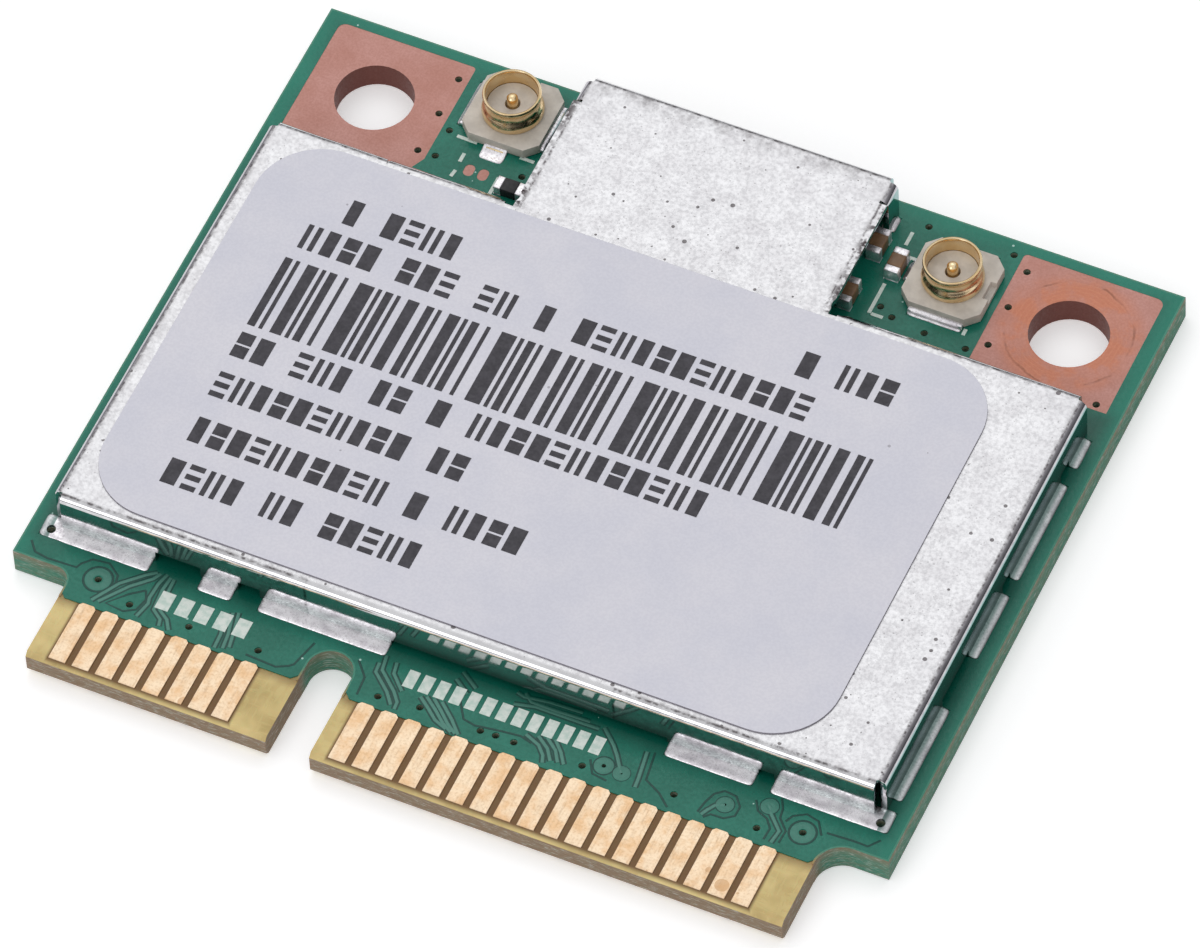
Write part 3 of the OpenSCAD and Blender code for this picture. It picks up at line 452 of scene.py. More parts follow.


# Where the tin is dark: near its outer edges, along its folds, toward the back of the tab, in pits and
# dust
def tinDarkening(tree, place, flat):
    look = tinLook
    body = inset(tree, place, canLow.x, canHigh.x, canLow.y, bodyBack)
    tab = inset(tree, place, tabLeft, tabRight, boardLow.y, canHigh.y)
    fromEdge = calc(tree, "MAXIMUM", body, tab)
    edgeBreakup = grain(tree, place, scale=3.6, low=0.44, high=0.58, detail=7.0)
    patch = grain(tree, place, scale=0.35, low=0.35, high=0.6)
    patch = calc(tree, "ADD", 0.4, calc(tree, "MULTIPLY", patch["Mask"], 0.6))
    edges = product(tree, remap(tree, fromEdge, look["edgeReach"], 0.02), edgeBreakup["Mask"], patch)
    tabBack = canHigh.y / mm
    nearTabBack = remap(tree, coordinate(tree, place, "Y"), tabBack - look["backDarkReach"], tabBack)
    backDarkening = grain(tree, place, scale=1.9, low=0.40, high=0.66, detail=9.0)
    backDarkening = product(tree, nearTabBack, backDarkening["Mask"], 0.75)
    pits = product(tree, specks(tree, place, scale=2.2, size=0.2, cover=0.54), 0.75)
    dust = product(tree, specks(tree, place, scale=8.0, size=0.26, cover=0.5), 0.3)
    dark = edges
    for mask in (backDarkening, pits, dust):
        dark = calc(tree, "MAXIMUM", dark, mask)
    dark = calc(tree, "MULTIPLY", dark, remap(tree, flat, 0.0, 1.0, 0.25, 1.0))
    ragged = grain(tree, place, scale=4.6, low=0.38, high=0.62, detail=9.0)
    fold = product(tree, remap(tree, fromEdge, look["foldIn"], look["foldMiddle"]),
                   remap(tree, fromEdge, look["foldOut"], look["foldMiddle"]), ragged["Mask"], 0.85)
    return calc(tree, "MAXIMUM", dark, fold)


def makeTin():
    made, tree, shader, place = startMaterial("tinnedSheet")
    look = tinLook
    flat = remap(tree, facing(tree, "Z"), 0.9, 0.99)
    cloud = grain(tree, place, scale=1.1, low=0.35, high=0.7, detail=5.0)
    mottle = grain(tree, place, scale=9.0, low=0.45, high=0.66, detail=6.0)
    color = paint(tree, tint(*look["base"]), cloud["Mask"], look["dull"], 0.6)
    mottled = calc(tree, "MULTIPLY", mottle["Mask"], remap(tree, flat, 0.0, 1.0, 0.05, 0.14))
    color = paint(tree, color, mottled, look["grain"])
    dark = tinDarkening(tree, place, flat)
    color = paint(tree, color, dark, look["darkening"])
    sideways = facing(tree, "X")
    # Painted reflection: faces of the side bends, turned partly sideways, are painted greyer.
    bendReflectionMask = calc(tree, "MULTIPLY", remap(tree, sideways, 0.2, 0.5),
                  remap(tree, sideways, 0.93, 0.8))
    color = paint(tree, color, bendReflectionMask, look["bendReflection"], 0.5)
    # Painted reflection: faces that look sideways take a green-grey tint, as if reflecting the green
    # board.
    color = paint(tree, color, remap(tree, sideways, 0.88, 0.98), look["sideReflection"], 0.8)
    # Painted shade and reflection: the walls are painted darker and greener low down, near the board.
    paintedFootShade = calc(tree, "MULTIPLY", remap(tree, flat, 1.0, 0.0),
                    remap(tree, coordinate(tree, place, "Z"), 1.7, 1.3))
    color = paint(tree, color, paintedFootShade, look["footShadeAndReflection"], 0.7)
    rough = addNode(tree, "ShaderNodeMix", {
        0: flat, 2: unevenGloss(tree, cloud["Value"], 0.05, 0.12),
        3: unevenGloss(tree, mottle["Value"], 0.38, 0.5)}, data_type="FLOAT").outputs[0]
    scrape = scratches(tree, place, across=14.0, along=0.7, level=0.66, turn=0.9)
    height = calc(tree, "ADD", mottle["Value"], calc(tree, "MULTIPLY", scrape["Mask"], 0.3))
    height = calc(tree, "SUBTRACT", height, dark)
    height = calc(tree, "MULTIPLY", height, remap(tree, flat, 0.0, 1.0, 0.15, 1.0))
    feed(tree, shader, color, rough, height, strength=0.3, depth=0.004)
    setShader(shader, Metallic=1.0)
    return made


solderTint = {
    "bright": (0.99, 0.98, 0.99), "dull": (0.88, 0.86, 0.88), "grain": (0.60, 0.58, 0.60),
    "flux": (0.45, 0.36, 0.25), "shade": (0.42, 0.52, 0.50), "metallic": 0.9}


def makeSolder():
    made, tree, shader, place = startMaterial("reflowedSolder")
    look = solderTint
    lumps = grain(tree, place, scale=2.2, low=0.36, high=0.7)
    fine = grain(tree, place, scale=14.0, low=0.5, high=0.68, detail=4.0)
    color = paint(tree, tint(*look["bright"]), lumps["Mask"], look["dull"])
    color = paint(tree, color, fine["Mask"], look["grain"], 0.36)
    color = paint(tree, color, specks(tree, place, scale=3.0, size=0.2, cover=0.38), look["flux"],
                  0.4)
    toSide = inset(tree, place, canLow.x, canHigh.x, boardLow.y - 10 * mm, boardHigh.y + 10 * mm)
    beside = remap(tree, toSide, 0.03, 0.0)
    nearWall = product(tree, beside, remap(tree, toSide, -0.2, -0.04), 0.5)
    shade = calc(tree, "ADD", calc(tree, "MULTIPLY", beside, 0.4), nearWall)
    color = paint(tree, color, shade, look["shade"])
    feed(tree, shader, color, unevenGloss(tree, fine["Value"], 0.26, 0.48),
         calc(tree, "ADD", lumps["Value"], fine["Value"]), strength=0.3, depth=0.015)
    setShader(shader, Metallic=look["metallic"])
    return made


labelLook = {
    "base": (0.87, 0.865, 0.895), "cool": (0.84, 0.84, 0.88), "grain": (0.70, 0.70, 0.76),
    "dirt": (0.45, 0.43, 0.46), "edge": (0.58, 0.56, 0.60)}


def makeLabelFilm():
    made, tree, shader, place = startMaterial("labelFilm")
    look = labelLook
    cloud = grain(tree, place, scale=0.35, low=0.3, high=0.7)
    fine = grain(tree, place, scale=11.0, detail=5.0)
    color = paint(tree, tint(*look["base"]), cloud["Mask"], look["cool"])
    color = paint(tree, color, fine["Mask"], look["grain"], 0.12)
    color = paint(tree, color, specks(tree, place, scale=1.5, size=0.1, cover=0.4), look["dirt"],
                  0.5)
    flat = remap(tree, facing(tree, "Z"), 0.5, 0.9)
    color = blendColor(tree, flat, tint(*look["edge"]), color)
    feed(tree, shader, color, unevenGloss(tree, fine["Value"], 0.42, 0.55), fine["Value"],
         strength=0.12, depth=0.01)
    return made


# Plain finishes: two colours that a cloudy pattern mixes, its scale, and the surface
plainLooks = {
    "printInk": {"base": (0.17, 0.16, 0.19), "second": (0.23, 0.22, 0.25), "scale": 3.0,
                 "roughness": 0.5, "bump": 0.05},
    "whiteLegend": {"base": (0.88, 0.91, 0.88), "second": (0.76, 0.84, 0.80), "scale": 4.0,
                    "roughness": 0.55},
    "receptacleGold": {"base": (0.94, 0.85, 0.69), "second": (0.90, 0.78, 0.58), "scale": 1.4,
                       "roughness": 0.2, "metallic": 1.0, "bump": 0.02, "fineScale": 3.0},
    "housingPlastic": {"base": (0.82, 0.79, 0.75), "second": (0.74, 0.71, 0.67), "scale": 1.6,
                       "roughness": 0.45},
    "chipPlastic": {"base": (0.13, 0.13, 0.14), "second": (0.17, 0.17, 0.18), "scale": 1.5,
                    "roughness": 0.55},
    "paleCeramic": {"base": (0.78, 0.74, 0.66), "second": (0.70, 0.66, 0.58), "scale": 1.5,
                    "roughness": 0.4},
    "ferrite": {"base": (0.28, 0.27, 0.27), "second": (0.22, 0.21, 0.21), "scale": 1.5,
                "roughness": 0.5},
    "brownCeramic": {"base": (0.52, 0.40, 0.29), "second": (0.44, 0.33, 0.23), "scale": 2.0,
                     "roughness": 0.4}}


def makePlain(name):
    made, tree, shader, place = startMaterial(name)
    look = plainLooks[name]
    cloud = grain(tree, place, scale=look["scale"], low=0.35, high=0.68)
    fine = grain(tree, place, scale=look.get("fineScale", 10.0), detail=4.0)
    color = paint(tree, tint(*look["base"]), cloud["Mask"], look["second"])
    rough = unevenGloss(tree, fine["Value"], look["roughness"] - 0.07, look["roughness"] + 0.08)
    feed(tree, shader, color, rough, fine["Value"], strength=look.get("bump", 0.15), depth=0.01)
    setShader(shader, Metallic=look.get("metallic", 0.0))
    return made


lacquerOnCopper = makeLacquer("greenLacquerOnCopper", 0.3)
lacquerTrace = makeLacquer("greenLacquerTrace", 0.5)
lacquerGap = makeLacquer("greenLacquerGap", -0.9)
wornHole = Vector((boardHigh.x - copperLook["holeFromSide"] * mm,
                   boardHigh.y - copperLook["holeFromBack"] * mm, 0))
finishes = {
    "laminate": makeLaminate(), "solder_mask": makeLacquer("greenLacquer"),
    "white_legend": makePlain("whiteLegend"), "contact_gold": makeContactGold(),
    "bare_copper": makeCopper("bareCopper"), "tinned_sheet": makeTin(), "solder": makeSolder(),
    "label_film": makeLabelFilm(), "print_ink": makePlain("printInk"),
    "receptacle_plastic": makePlain("housingPlastic"),
    "receptacle_gold": makePlain("receptacleGold"), "chip_plastic": makePlain("chipPlastic"),
    "ceramic_body": makePlain("paleCeramic"), "ferrite": makePlain("ferrite"),
    "capacitor_ceramic": makePlain("brownCeramic")}
print("materials made")

slotOf = {part["node"]: part["material_slot"] for part in frame["record"]["subparts"]}
for nodeName, slotName in slotOf.items():
    cadNodes[nodeName].data.materials.clear()
    cadNodes[nodeName].data.materials.append(finishes[slotName])
cadNodes["mounting_land_right"].data.materials[0] = makeCopper("bareCopperWorn", wornHole)
print("CAD nodes dressed")


def clearSelection():
    if bpy.context.mode != "OBJECT":
        bpy.ops.object.mode_set(mode="OBJECT")
    bpy.ops.object.select_all(action="DESELECT")


def chooseOnly(piece):
    clearSelection()
    piece.select_set(True)
    bpy.context.view_layer.objects.active = piece


# In edit mode: selects the faces, edges or vertices that pass a test on them
def pick(piece, kind, test):
    bpy.ops.mesh.select_mode(type=kind)
    bpy.ops.mesh.select_all(action="DESELECT")
    sheet = bmesh.from_edit_mesh(piece.data)
    elements = {"VERT": sheet.verts, "EDGE": sheet.edges, "FACE": sheet.faces}[kind]
    for element in elements:
        if test(element):
            element.select_set(True)
    sheet.select_flush_mode()
    bmesh.update_edit_mesh(piece.data)


def applyModifier(piece, kind, **settings):
    chooseOnly(piece)
    modifier = piece.modifiers.new(kind.lower(), kind)
    for key, value in settings.items():
        setattr(modifier, key, value)
    bpy.ops.object.modifier_apply(modifier=modifier.name)


# Last steps of a new piece: place in the mesh, smooth faces, finish, body and CAD node
def settle(piece, name, nodeName, smoothDegrees=35.0, material=None, hides=True):
    chooseOnly(piece)
    bpy.ops.object.transform_apply(location=True, rotation=True, scale=True)
    bpy.ops.object.shade_smooth_by_angle(angle=math.radians(smoothDegrees))
    applyModifier(piece, "WEIGHTED_NORMAL", keep_sharp=True)
    piece.name = name
    piece.data.name = name
    piece.data.materials.clear()
    piece.data.materials.append(material or finishes[slotOf[nodeName]])
    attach(piece, "root")
    if hides:
        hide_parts(nodeName)


def joinAll(pieces):
    clearSelection()
    for piece in pieces:
        piece.select_set(True)
    bpy.context.view_layer.objects.active = pieces[0]
    bpy.ops.object.join()
    return pieces[0]


# Softly rounded copies of sharp CAD nodes: node, rounding in millimetres, steps, angle
softLooks = {
    "shieldCan": ("shield_can", 0.02, 2, 40.0), "labelFilm": ("label", 0.015, 2, 40.0),
    "edgeContactsTop": ("edge_contacts_top", 0.014, 2, 50.0),
    "edgeContactsUnder": ("edge_contacts_bottom", 0.014, 2, 50.0),
    "housingLeft": ("receptacle_housing_left", 0.045, 3, 40.0),
    "housingRight": ("receptacle_housing_right", 0.045, 3, 40.0),
    "centreContactLeft": ("receptacle_pin_left", 0.012, 2, 50.0),
    "centreContactRight": ("receptacle_pin_right", 0.012, 2, 50.0),
    "capacitorBodies": ("capacitors", 0.04, 2, 40.0),
    "capacitorCaps": ("capacitor_ends", 0.04, 2, 40.0),
    "resistorBodies": ("resistors", 0.02, 2, 40.0), "resistorCaps": ("resistor_ends", 0.03, 2, 40.0),
    "bandFilterBodies": ("band_filters", 0.04, 2, 40.0), "radioChip": ("radio_chip", 0.03, 2, 60.0),
    "memoryChip": ("memory_chip", 0.03, 2, 60.0), "regulatorBody": ("regulator", 0.05, 2, 40.0),
    "frontEndLeft": ("front_end_left", 0.04, 2, 40.0),
    "frontEndRight": ("front_end_right", 0.04, 2, 40.0),
    "crystalBase": ("crystal_base", 0.05, 2, 40.0), "crystalLid": ("crystal_lid", 0.05, 2, 40.0),
    "powerInductor": ("power_inductor", 0.05, 2, 40.0),
    "powerInductorCaps": ("power_inductor_ends", 0.05, 2, 40.0)}
coreLook = {"above": 1.435, "lift": 0.34}  # the middle of a housing, inside its contact ring


def makeSoftCopies():
    for name, (nodeName, width, steps, angle) in softLooks.items():
        piece = bpy.data.objects.new(name, cadNodes[nodeName].data.copy())
        bpy.context.collection.objects.link(piece)
        chooseOnly(piece)
        sheet = bmesh.new()
        sheet.from_mesh(piece.data)
        bmesh.ops.remove_doubles(sheet, verts=sheet.verts, dist=weld)
        bmesh.ops.dissolve_limit(sheet, angle_limit=math.radians(1.0), verts=sheet.verts,
                                 edges=sheet.edges)
        if nodeName.startswith("receptacle_housing"):
            for vertex in sheet.verts:
                if vertex.co.z > coreLook["above"] * mm:
                    vertex.co.z += coreLook["lift"] * mm
        sheet.to_mesh(piece.data)
        sheet.free()
        applyModifier(piece, "BEVEL", width=width * mm, segments=steps, limit_method="ANGLE",
                      angle_limit=math.radians(angle), use_clamp_overlap=True)
        settle(piece, name, nodeName)


makeSoftCopies()
print("sharp parts softened")


solderLook = {
    "corner": 0.13, "rim": 0.06, "step": 0.32, "foot": 0.965, "crest": 1.055, "rise": 0.06,
    "overMask": 0.01, "tabFrom": 10.0, "lump": 0.03, "lumpSize": 0.5,
    "drillRadius": 0.15, "drillBefore": 0.2}
lumpTexture = bpy.data.textures.new("solderLumps", "CLOUDS")
lumpTexture.noise_scale = solderLook["lumpSize"] * mm
lumpTexture.noise_depth = 1


def addBlock(low, high):
    middle = (low + high) / 2
    clearSelection()
    bpy.ops.mesh.primitive_cube_add(size=1.0, location=middle)
    block = bpy.context.object
    bpy.ops.object.mode_set(mode="EDIT")
    bpy.ops.transform.resize(value=high - low, center_override=middle)
    bpy.ops.object.mode_set(mode="OBJECT")
    bpy.ops.object.transform_apply(location=True, rotation=True, scale=True)
    return block


# A bead of solder over a box; toward points at the metal, which it has crept up past the line wall
def makeBead(low, high, toward, wall, crest, rise):
    size = high - low
    shorter = min(size.x, size.y)
    bead = addBlock(low, high)
    bpy.ops.object.mode_set(mode="EDIT")
    for axis in (0, 1):
        normal = Vector((1 - axis, axis, 0))
        cuts = max(2, round(size[axis] / (solderLook["step"] * mm)))
        for cut in range(1, cuts):
            bpy.ops.mesh.select_all(action="SELECT")
            bpy.ops.mesh.bisect(plane_co=low + normal * size[axis] * cut / cuts, plane_no=normal)
    bpy.ops.mesh.select_all(action="SELECT")
    bpy.ops.mesh.bisect(plane_co=toward * wall, plane_no=toward)
    ends = [(low.x, low.y), (low.x, high.y), (high.x, low.y), (high.x, high.y)]
    pick(bead, "EDGE", lambda edge: any(
        all(abs(vertex.co.x - x) < weld and abs(vertex.co.y - y) < weld for vertex in edge.verts)
        for x, y in ends))
    bpy.ops.mesh.bevel(offset=min(solderLook["corner"] * mm, 0.35 * shorter), segments=3,
                       affect="EDGES")
    pick(bead, "FACE", lambda face: face.normal.z > 0.9)
    bpy.ops.mesh.inset(thickness=min(solderLook["rim"] * mm, 0.2 * shorter), depth=0)
    bpy.ops.transform.translate(value=(0, 0, crest - high.z))
    pick(bead, "VERT", lambda vertex: vertex.co.z > low.z + weld
         and vertex.co.dot(toward) > wall - weld)
    bpy.ops.transform.translate(value=(0, 0, rise))
    bpy.ops.object.mode_set(mode="OBJECT")
    applyModifier(bead, "SUBSURF", levels=2, render_levels=2)
    return bead


# Gives solder an uneven surface and settles it
def finishSolder(solder, name, nodeName):
    applyModifier(solder, "DISPLACE", texture=lumpTexture, strength=solderLook["lump"] * mm,
                  mid_level=0.5, direction="Z", texture_coords="LOCAL")
    settle(solder, name, nodeName)


def makeShieldSolder():
    beads = []
    for low, high in islandBoxes("shield_solder"):
        middle = (low + high) / 2
        onTab = middle.y > solderLook["tabFrom"] * mm
        if high.x - low.x > high.y - low.y:
            toward = Vector((0, 1 if middle.y < 0 else -1, 0))
            back = canHigh.y if onTab else bodyBack
            line = canLow.y if middle.y < 0 else back
        else:
            toward = Vector((1 if middle.x < 0 else -1, 0, 0))
            left, right = (tabLeft, tabRight) if onTab else (canLow.x, canHigh.x)
            line = left if middle.x < 0 else right
        low.z = solderLook["foot"] * mm
        high.z = maskTop + solderLook["overMask"] * mm
        beads.append(makeBead(low, high, toward, line * (toward.x + toward.y),
                              solderLook["crest"] * mm, solderLook["rise"] * mm))
    strips = joinAll(beads)
    for side in (-1, 1):
        clearSelection()
        bpy.ops.mesh.primitive_cylinder_add(
            vertices=24, radius=solderLook["drillRadius"] * mm, depth=mm,
            location=(side * canHigh.x, canLow.y - solderLook["drillBefore"] * mm, mm))
        drill = bpy.context.object
        applyModifier(strips, "BOOLEAN", object=drill, operation="DIFFERENCE", solver="EXACT")
        bpy.data.objects.remove(drill)
    finishSolder(strips, "shieldSolderStrips", "shield_solder")


makeShieldSolder()

padSolderLook = {"near": 2.2, "signalReach": 0.27, "overMask": 0.02, "crest": 0.03, "rise": 0.15,
                 "under": 0.12}


def makeReceptacleSolder():
    look = padSolderLook
    beads = []
    for side in ("left", "right"):
        houseLow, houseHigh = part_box("receptacle_housing_" + side)
        house = (houseLow + houseHigh) / 2
        for low, high in islandBoxes("receptacle_solder"):
            offset = (low + high) / 2 - house
            if offset.length > look["near"] * mm:
                continue
            if abs(offset.x) > abs(offset.y):
                toward = Vector((-1 if offset.x > 0 else 1, 0, 0))
                edge = houseHigh.x if offset.x > 0 else houseLow.x
            else:
                toward = Vector((0, -1 if offset.y > 0 else 1, 0))
                edge = houseHigh.y if offset.y > 0 else houseLow.y
            if side == "left" and offset.y < 0 and abs(offset.x) < mm:
                low.y -= look["signalReach"] * mm
            low.z = solderLook["foot"] * mm
            high.z = maskTop + look["overMask"] * mm
            wall = edge * (toward.x + toward.y) - look["under"] * mm
            beads.append(makeBead(low, high, toward, wall, maskTop + look["crest"] * mm,
                                  look["rise"] * mm))
    finishSolder(joinAll(beads), "receptacleSolderLumps", "receptacle_solder")


makeReceptacleSolder()
print("solder made")


# Turned contact ring, as radius and height in millimetres from the inner foot up and round
ringLook = {
    "profile": [(0.84, 1.43), (0.84, 2.29), (0.848, 2.335), (0.87, 2.365), (0.90, 2.378),
                (0.932, 2.366), (0.953, 2.335), (0.958, 2.29), (0.95, 2.24), (0.925, 2.20),
                (0.90, 2.15), (0.886, 2.08), (0.882, 2.0), (0.888, 1.92), (0.912, 1.85),
                (0.95, 1.79), (0.985, 1.72), (1.01, 1.64), (1.018, 1.56), (1.01, 1.48),
                (0.985, 1.425)],
    "sides": 72, "lugWidth": 1.65, "lugTop": 1.15, "lugFoot": 1.035, "lugReach": 1.47,
    "lugInner": 1.0, "lugRound": 0.03}


def makeRing():
    profile = ringLook["profile"]
    clearSelection()
    bpy.ops.mesh.primitive_circle_add(vertices=ringLook["sides"], radius=profile[0][0] * mm,
                                      location=(0, 0, profile[0][1] * mm))
    ring = bpy.context.object
    bpy.ops.object.transform_apply(location=True, rotation=True, scale=True)
    bpy.ops.object.mode_set(mode="EDIT")
    bpy.ops.mesh.select_all(action="SELECT")
    last = profile[0]
    for radius, height in profile[1:] + profile[:1]:
        bpy.ops.mesh.extrude_region_move(TRANSFORM_OT_translate={
            "value": (0, 0, (height - last[1]) * mm)})
        bpy.ops.transform.resize(value=(radius / last[0], radius / last[0], 1),
                                 center_override=(0, 0, height * mm))
        last = (radius, height)
    bpy.ops.mesh.select_all(action="SELECT")
    bpy.ops.mesh.remove_doubles(threshold=weld)
    bpy.ops.mesh.normals_make_consistent(inside=False)
    bpy.ops.object.mode_set(mode="OBJECT")
    lugs = []
    halfWidth = ringLook["lugWidth"] / 2
    for side in (-1, 1):
        left, right = sorted((side * ringLook["lugInner"], side * ringLook["lugReach"]))
        lug = addBlock(Vector((left, -halfWidth, ringLook["lugFoot"])) * mm,
                       Vector((right, halfWidth, ringLook["lugTop"])) * mm)
        applyModifier(lug, "BEVEL", width=ringLook["lugRound"] * mm, segments=3)
        lugs.append(lug)
    return joinAll([ring] + lugs)


def makeRings():
    first = makeRing()
    second = bpy.data.objects.new("secondRing", first.data.copy())
    bpy.context.collection.objects.link(second)
    for ring, side in ((first, "left"), (second, "right")):
        low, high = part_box("receptacle_ring_" + side)
        middle = (low + high) / 2
        ring.location = (middle.x, middle.y, 0)
        if high.y - low.y > high.x - low.x:
            ring.rotation_euler = (0, 0, quarterTurn)
        settle(ring, "contactRing" + side.capitalize(), "receptacle_ring_" + side, 30.0)


makeRings()
print("receptacle rings turned")


# Copper under the lacquer, as points in plan in millimetres
traceLook = {"width": 0.12, "height": 0.011, "shadowWidth": 0.22, "gapWidth": 0.08,
             "gapHeight": 0.004, "padWidth": 0.26, "padMiddle": 0.62, "ringSteps": 28}
traceRuns = [
    [(-10.379, -8.965), (-10.674, -9.187), (-11.299, -9.795), (-11.832, -10.707)],
    [(-10.264, -8.965), (-10.396, -9.227), (-10.963, -9.776), (-11.619, -10.671)],
    [(-10.06, -8.913), (-10.17, -9.337), (-10.198, -9.932), (-10.14, -10.147), (-10.276, -10.718)],
    [(-9.909, -8.986), (-9.955, -9.486), (-9.887, -10.279), (-9.532, -10.539), (-9.47, -10.786)],
    [(-9.786, -9.003), (-9.72, -10.208), (-9.342, -10.458), (-9.116, -10.806)],
    [(-7.763, -9.515), (-7.552, -10.313), (-7.524, -10.847)],
    [(-7.549, -9.424), (-7.338, -10.223), (-7.273, -10.774)],
    [(-7.383, -9.354), (-7.196, -10.162), (-7.097, -10.665)],
    [(-2.546, -9.357), (-2.515, -9.709), (-1.885, -10.244), (-1.559, -10.652)],
    [(-2.457, -9.026), (-2.355, -9.568), (-1.681, -10.158), (-1.418, -10.483), (-1.396, -10.765)],
    [(-2.05, -9.14), (-1.967, -9.549), (-1.452, -10.061)],
    [(-0.833, -10.016), (-0.405, -10.344), (-0.058, -10.633), (0.388, -10.806)],
    [(-0.655, -9.941), (-0.227, -10.269), (0.227, -10.657), (0.586, -10.86)],
    [(-0.423, -9.915), (-0.021, -10.254), (0.354, -10.603), (0.729, -10.86)],
    [(-0.138, -9.939), (0.425, -10.428), (0.831, -10.86)],
    [(-0.099, -8.976), (0.447, -9.364)],
    [(-0.009, -8.645), (0.616, -9.073)],
    [(1.923, -9.137), (2.6, -8.97), (4.209, -8.966), (4.749, -8.954)],
    [(2.11, -8.621), (2.403, -8.861), (3.253, -8.863), (4.384, -8.819)],
    [(1.85, -8.69), (2.115, -8.765), (2.91, -8.645), (4.042, -8.601)],
    [(2.754, -10.019), (3.277, -10.231), (3.56, -10.53), (3.656, -10.793)],
    [(3.137, -9.929), (3.585, -10.245), (3.856, -10.636)],
    [(3.418, -9.881), (3.841, -10.209), (4.09, -10.6)],
    [(3.674, -9.845), (4.021, -10.205), (4.291, -10.596)],
    [(6.05, -10.2), (5.67, -9.648), (5.403, -9.328), (4.88, -8.85)],
    [(6.464, -9.152), (6.624, -10.167), (6.66, -10.512)],
    [(9.479, -10.032), (9.2, -10.15), (9.043, -10.397), (8.935, -10.623)],
    [(10.738, -9.497), (10.923, -9.777), (11.395, -10.257), (11.33, -10.74)]]
gapRuns = [
    [(-6.515, -10.691), (-5.459, -10.752), (-5.094, -10.563), (-4.97, -10.45), (-4.72, -9.46)],
    [(-3.19, -9.51), (-2.74, -10.03), (-2.69, -10.71)],
    [(-10.417, -9.716), (-10.266, -10.029), (-10.386, -10.491), (-10.739, -10.709),
     (-11.377, -10.637), (-10.86, -10.06), (-10.417, -9.716)],
    [(-14.56, -9.374), (-14.268, -9.733), (-13.8, -9.81), (-12.808, -9.768), (-12.729, -9.576),
     (-12.462, -9.298), (-11.917, -9.232), (-11.476, -9.547), (-11.409, -9.862)],
    [(0.314, -9.602), (0.74, -10.257), (1.15, -10.34), (1.95, -10.22), (2.63, -10.144),
     (3.046, -10.257)],
    [(4.966, -10.092), (5.238, -10.554), (5.753, -10.624)],
    [(6.705, -9.086), (6.86, -10.12), (7.423, -10.403), (7.869, -10.789)],
    [(8.793, -10.575), (8.87, -10.147), (9.0, -9.769), (9.262, -9.549), (9.671, -9.591),
     (9.93, -9.91), (9.918, -10.276), (9.623, -10.487), (9.211, -10.505), (9.026, -10.691)],
    [(10.279, -9.476), (10.492, -9.817), (10.865, -9.981), (11.1, -10.28), (11.073, -10.716)],
    [(10.983, -9.105), (11.17, -9.457), (11.22, -9.79), (11.581, -10.178), (11.554, -10.654)],
    [(11.433, -9.847), (11.55, -9.58), (11.93, -9.349), (12.364, -9.451), (12.653, -9.901)],
    [(12.764, -9.746), (13.637, -9.697), (14.118, -9.706), (14.4, -9.35)]]
traceRings = [(-11.98, -9.92, 0.47), (12.08, -10.02, 0.43), (5.45, -10.15, 0.32),
              (6.07, -10.20, 0.26), (9.47, -10.01, 0.28), (10.76, -9.53, 0.28)]


# Flat ridges on the lacquer, along runs of points and round the centres of rings
def makeRidges(name, runs, rings, width, height, material):
    curve = bpy.data.curves.new(name, "CURVE")
    curve.dimensions = "3D"
    curve.bevel_depth = width / 2 * mm
    curve.bevel_resolution = 2
    curve.use_fill_caps = True
    for run in runs:
        spline = curve.splines.new("POLY")
        spline.points.add(len(run) - 1)
        for point, (x, y) in zip(spline.points, run):
            point.co = (x * mm, y * mm, 0, 1)
    for x, y, radius in rings:
        steps = traceLook["ringSteps"]
        spline = curve.splines.new("POLY")
        spline.points.add(steps - 1)
        for step, point in enumerate(spline.points):
            turn = 2 * math.pi * step / steps
            point.co = ((x + radius * math.cos(turn)) * mm, (y + radius * math.sin(turn)) * mm, 0, 1)
        spline.use_cyclic_u = True
    ridges = bpy.data.objects.new(name, curve)
    bpy.context.collection.objects.link(ridges)
    chooseOnly(ridges)
    bpy.ops.object.convert(target="MESH")
    ridges.scale = (1, 1, 2 * height / width)
    ridges.location = (0, 0, maskTop)
    settle(ridges, name, "solder_mask_top", 40.0, material, hides=False)


makeRidges("traceRidges", traceRuns, [], traceLook["width"], traceLook["height"], lacquerTrace)
padRings = [(x, y, traceLook["padMiddle"] * radius) for x, y, radius in traceRings]
makeRidges("viaPads", [], padRings, traceLook["padWidth"], traceLook["height"], lacquerOnCopper)
makeRidges("traceGaps", traceRuns, [], traceLook["shadowWidth"], traceLook["gapHeight"],
           lacquerGap)
makeRidges("pourGaps", gapRuns, traceRings, traceLook["gapWidth"], traceLook["gapHeight"],
           lacquerGap)
print("copper traces raised under the lacquer")


stageLook = {"floorSize": 3.0, "floorColor": (0.93, 0.93, 0.93), "roughness": 0.9, "lift": 0.35,
             "drop": 0.05}


def makeStage():
    clearSelection()
    bpy.ops.mesh.primitive_plane_add(size=stageLook["floorSize"],
                                     location=(0, 0, -stageLook["drop"] * mm))
    floor = bpy.context.object
    floor.name = "floor"
    made = bpy.data.materials.new("paleFloor")
    made.use_nodes = True
    tree = made.node_tree
    shader = tree.nodes["Principled BSDF"]
    setShader(shader, Base_Color=tint(*stageLook["floorColor"]), Roughness=stageLook["roughness"],
              Emission_Color=(1, 1, 1, 1))
    rays = addNode(tree, "ShaderNodeLightPath")
    seen = calc(tree, "MAXIMUM", rays.outputs["Is Camera Ray"], rays.outputs["Is Glossy Ray"])
    seen = calc(tree, "MAXIMUM", seen, rays.outputs["Is Transmission Ray"])
    tree.links.new(calc(tree, "MULTIPLY", seen, stageLook["lift"]),
                   shader.inputs["Emission Strength"])
    floor.data.materials.append(made)


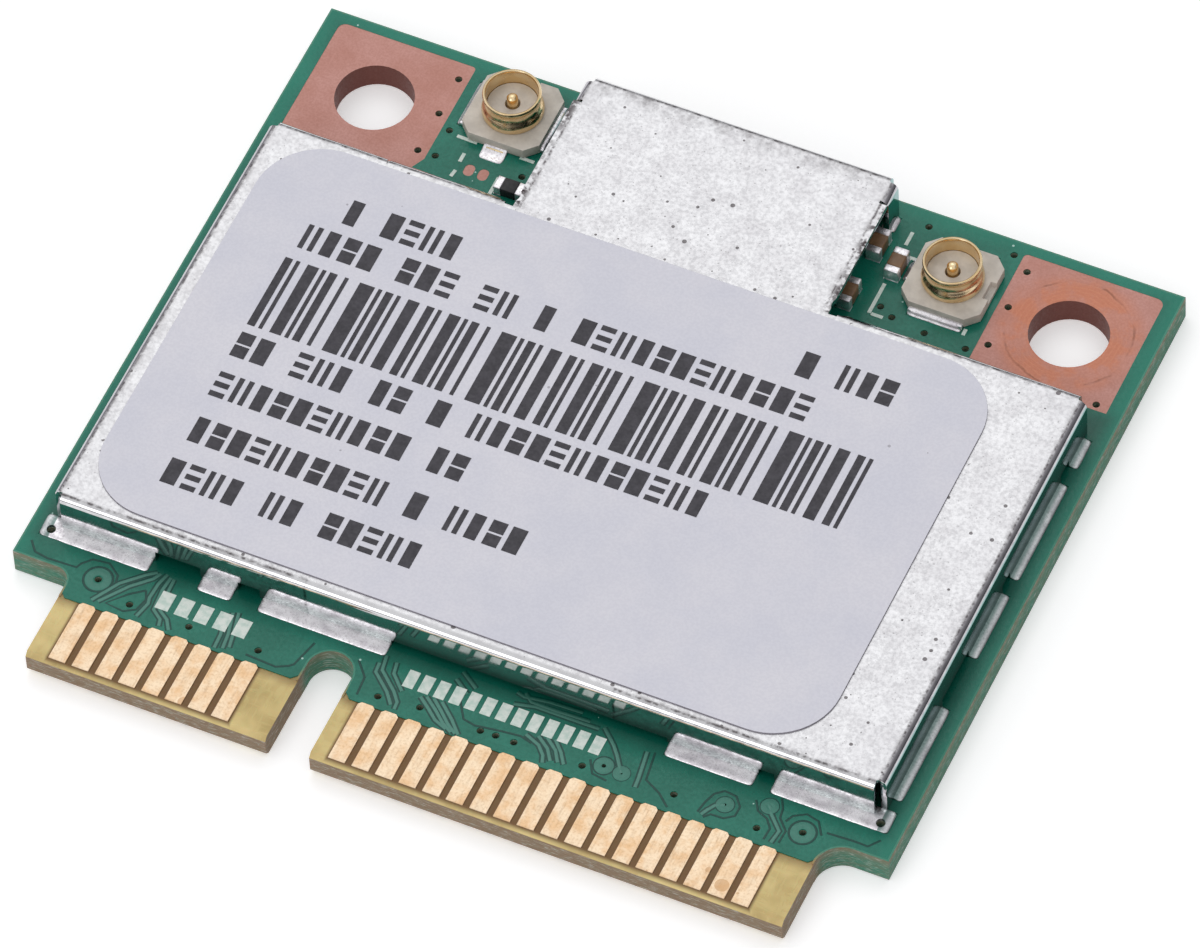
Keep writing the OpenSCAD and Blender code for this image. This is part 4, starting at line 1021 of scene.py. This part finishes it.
# A soft sky, pale above and darker toward one side; what the camera sees of it is white
skyLook = {"horizon": (0.50, 0.50, 0.52), "zenith": (0.98, 0.98, 0.985), "strength": 0.92,
           "paleFrom": -0.1, "paleFull": 0.7, "dark": (0.05, 0.05, 0.06), "darkAmount": 0.65,
           "darkToward": (0.86, 0.50, 0.10), "darkFrom": 0.55, "darkFull": 0.9, "backdrop": 1.25}


def makeSky():
    world = bpy.data.worlds.new("studioSky")
    bpy.context.scene.world = world
    world.use_nodes = True
    tree = world.node_tree
    background = tree.nodes["Background"]
    coordinates = addNode(tree, "ShaderNodeTexCoord")
    direction = coordinates.outputs["Generated"]
    height = remap(tree, coordinate(tree, direction, "Z"), skyLook["paleFrom"], skyLook["paleFull"])
    color = paint(tree, tint(*skyLook["horizon"]), height, skyLook["zenith"])
    toward = addNode(tree, "ShaderNodeVectorMath", {
        0: direction, 1: skyLook["darkToward"]}, operation="DOT_PRODUCT").outputs["Value"]
    darkSide = remap(tree, toward, skyLook["darkFrom"], skyLook["darkFull"])
    color = paint(tree, color, darkSide, skyLook["dark"], skyLook["darkAmount"])
    rays = addNode(tree, "ShaderNodeLightPath")
    white = (skyLook["backdrop"],) * 3 + (1,)
    color = blendColor(tree, rays.outputs["Is Camera Ray"], color, white)
    tree.links.new(color, background.inputs["Color"])
    background.inputs["Strength"].default_value = skyLook["strength"]


lamps = [
    {"name": "topSoftbox", "place": (-0.16, 0.30, 0.46), "size": 0.36, "power": 0.28},
    {"name": "frontFill", "place": (-0.10, -0.45, 0.22), "size": 0.30, "power": 0.4},
]


def makeLamps():
    for lamp in lamps:
        clearSelection()
        bpy.ops.object.light_add(type="AREA", location=lamp["place"])
        light = bpy.context.object
        light.name = lamp["name"]
        light.data.shape = "DISK"
        light.data.size = lamp["size"]
        light.data.energy = lamp["power"]
        light.rotation_euler = (-Vector(lamp["place"])).to_track_quat("-Z", "Y").to_euler()


cameraLook = {"place": (100.586, -190.779, 298.650), "forward": (-0.27182, 0.51903, -0.81038),
              "rollDegrees": -3.81, "lens": 352.3, "sensor": 36.0, "near": 0.01, "far": 20.0}


def makeCamera():
    clearSelection()
    bpy.ops.object.camera_add(location=Vector(cameraLook["place"]) * mm)
    camera = bpy.context.object
    camera.name = "camera"
    aim = Vector(cameraLook["forward"]).to_track_quat("-Z", "Y").to_matrix()
    roll = Matrix.Rotation(math.radians(cameraLook["rollDegrees"]), 3, "Z")
    camera.rotation_euler = (aim @ roll).to_euler()
    camera.data.sensor_width = cameraLook["sensor"]
    camera.data.sensor_fit = "HORIZONTAL"
    camera.data.lens = cameraLook["lens"]
    camera.data.clip_start = cameraLook["near"]
    camera.data.clip_end = cameraLook["far"]
    bpy.context.scene.camera = camera


makeStage()
makeSky()
makeLamps()
makeCamera()
bpy.context.scene.view_settings.view_transform = "Standard"
print("stage, light and camera set")
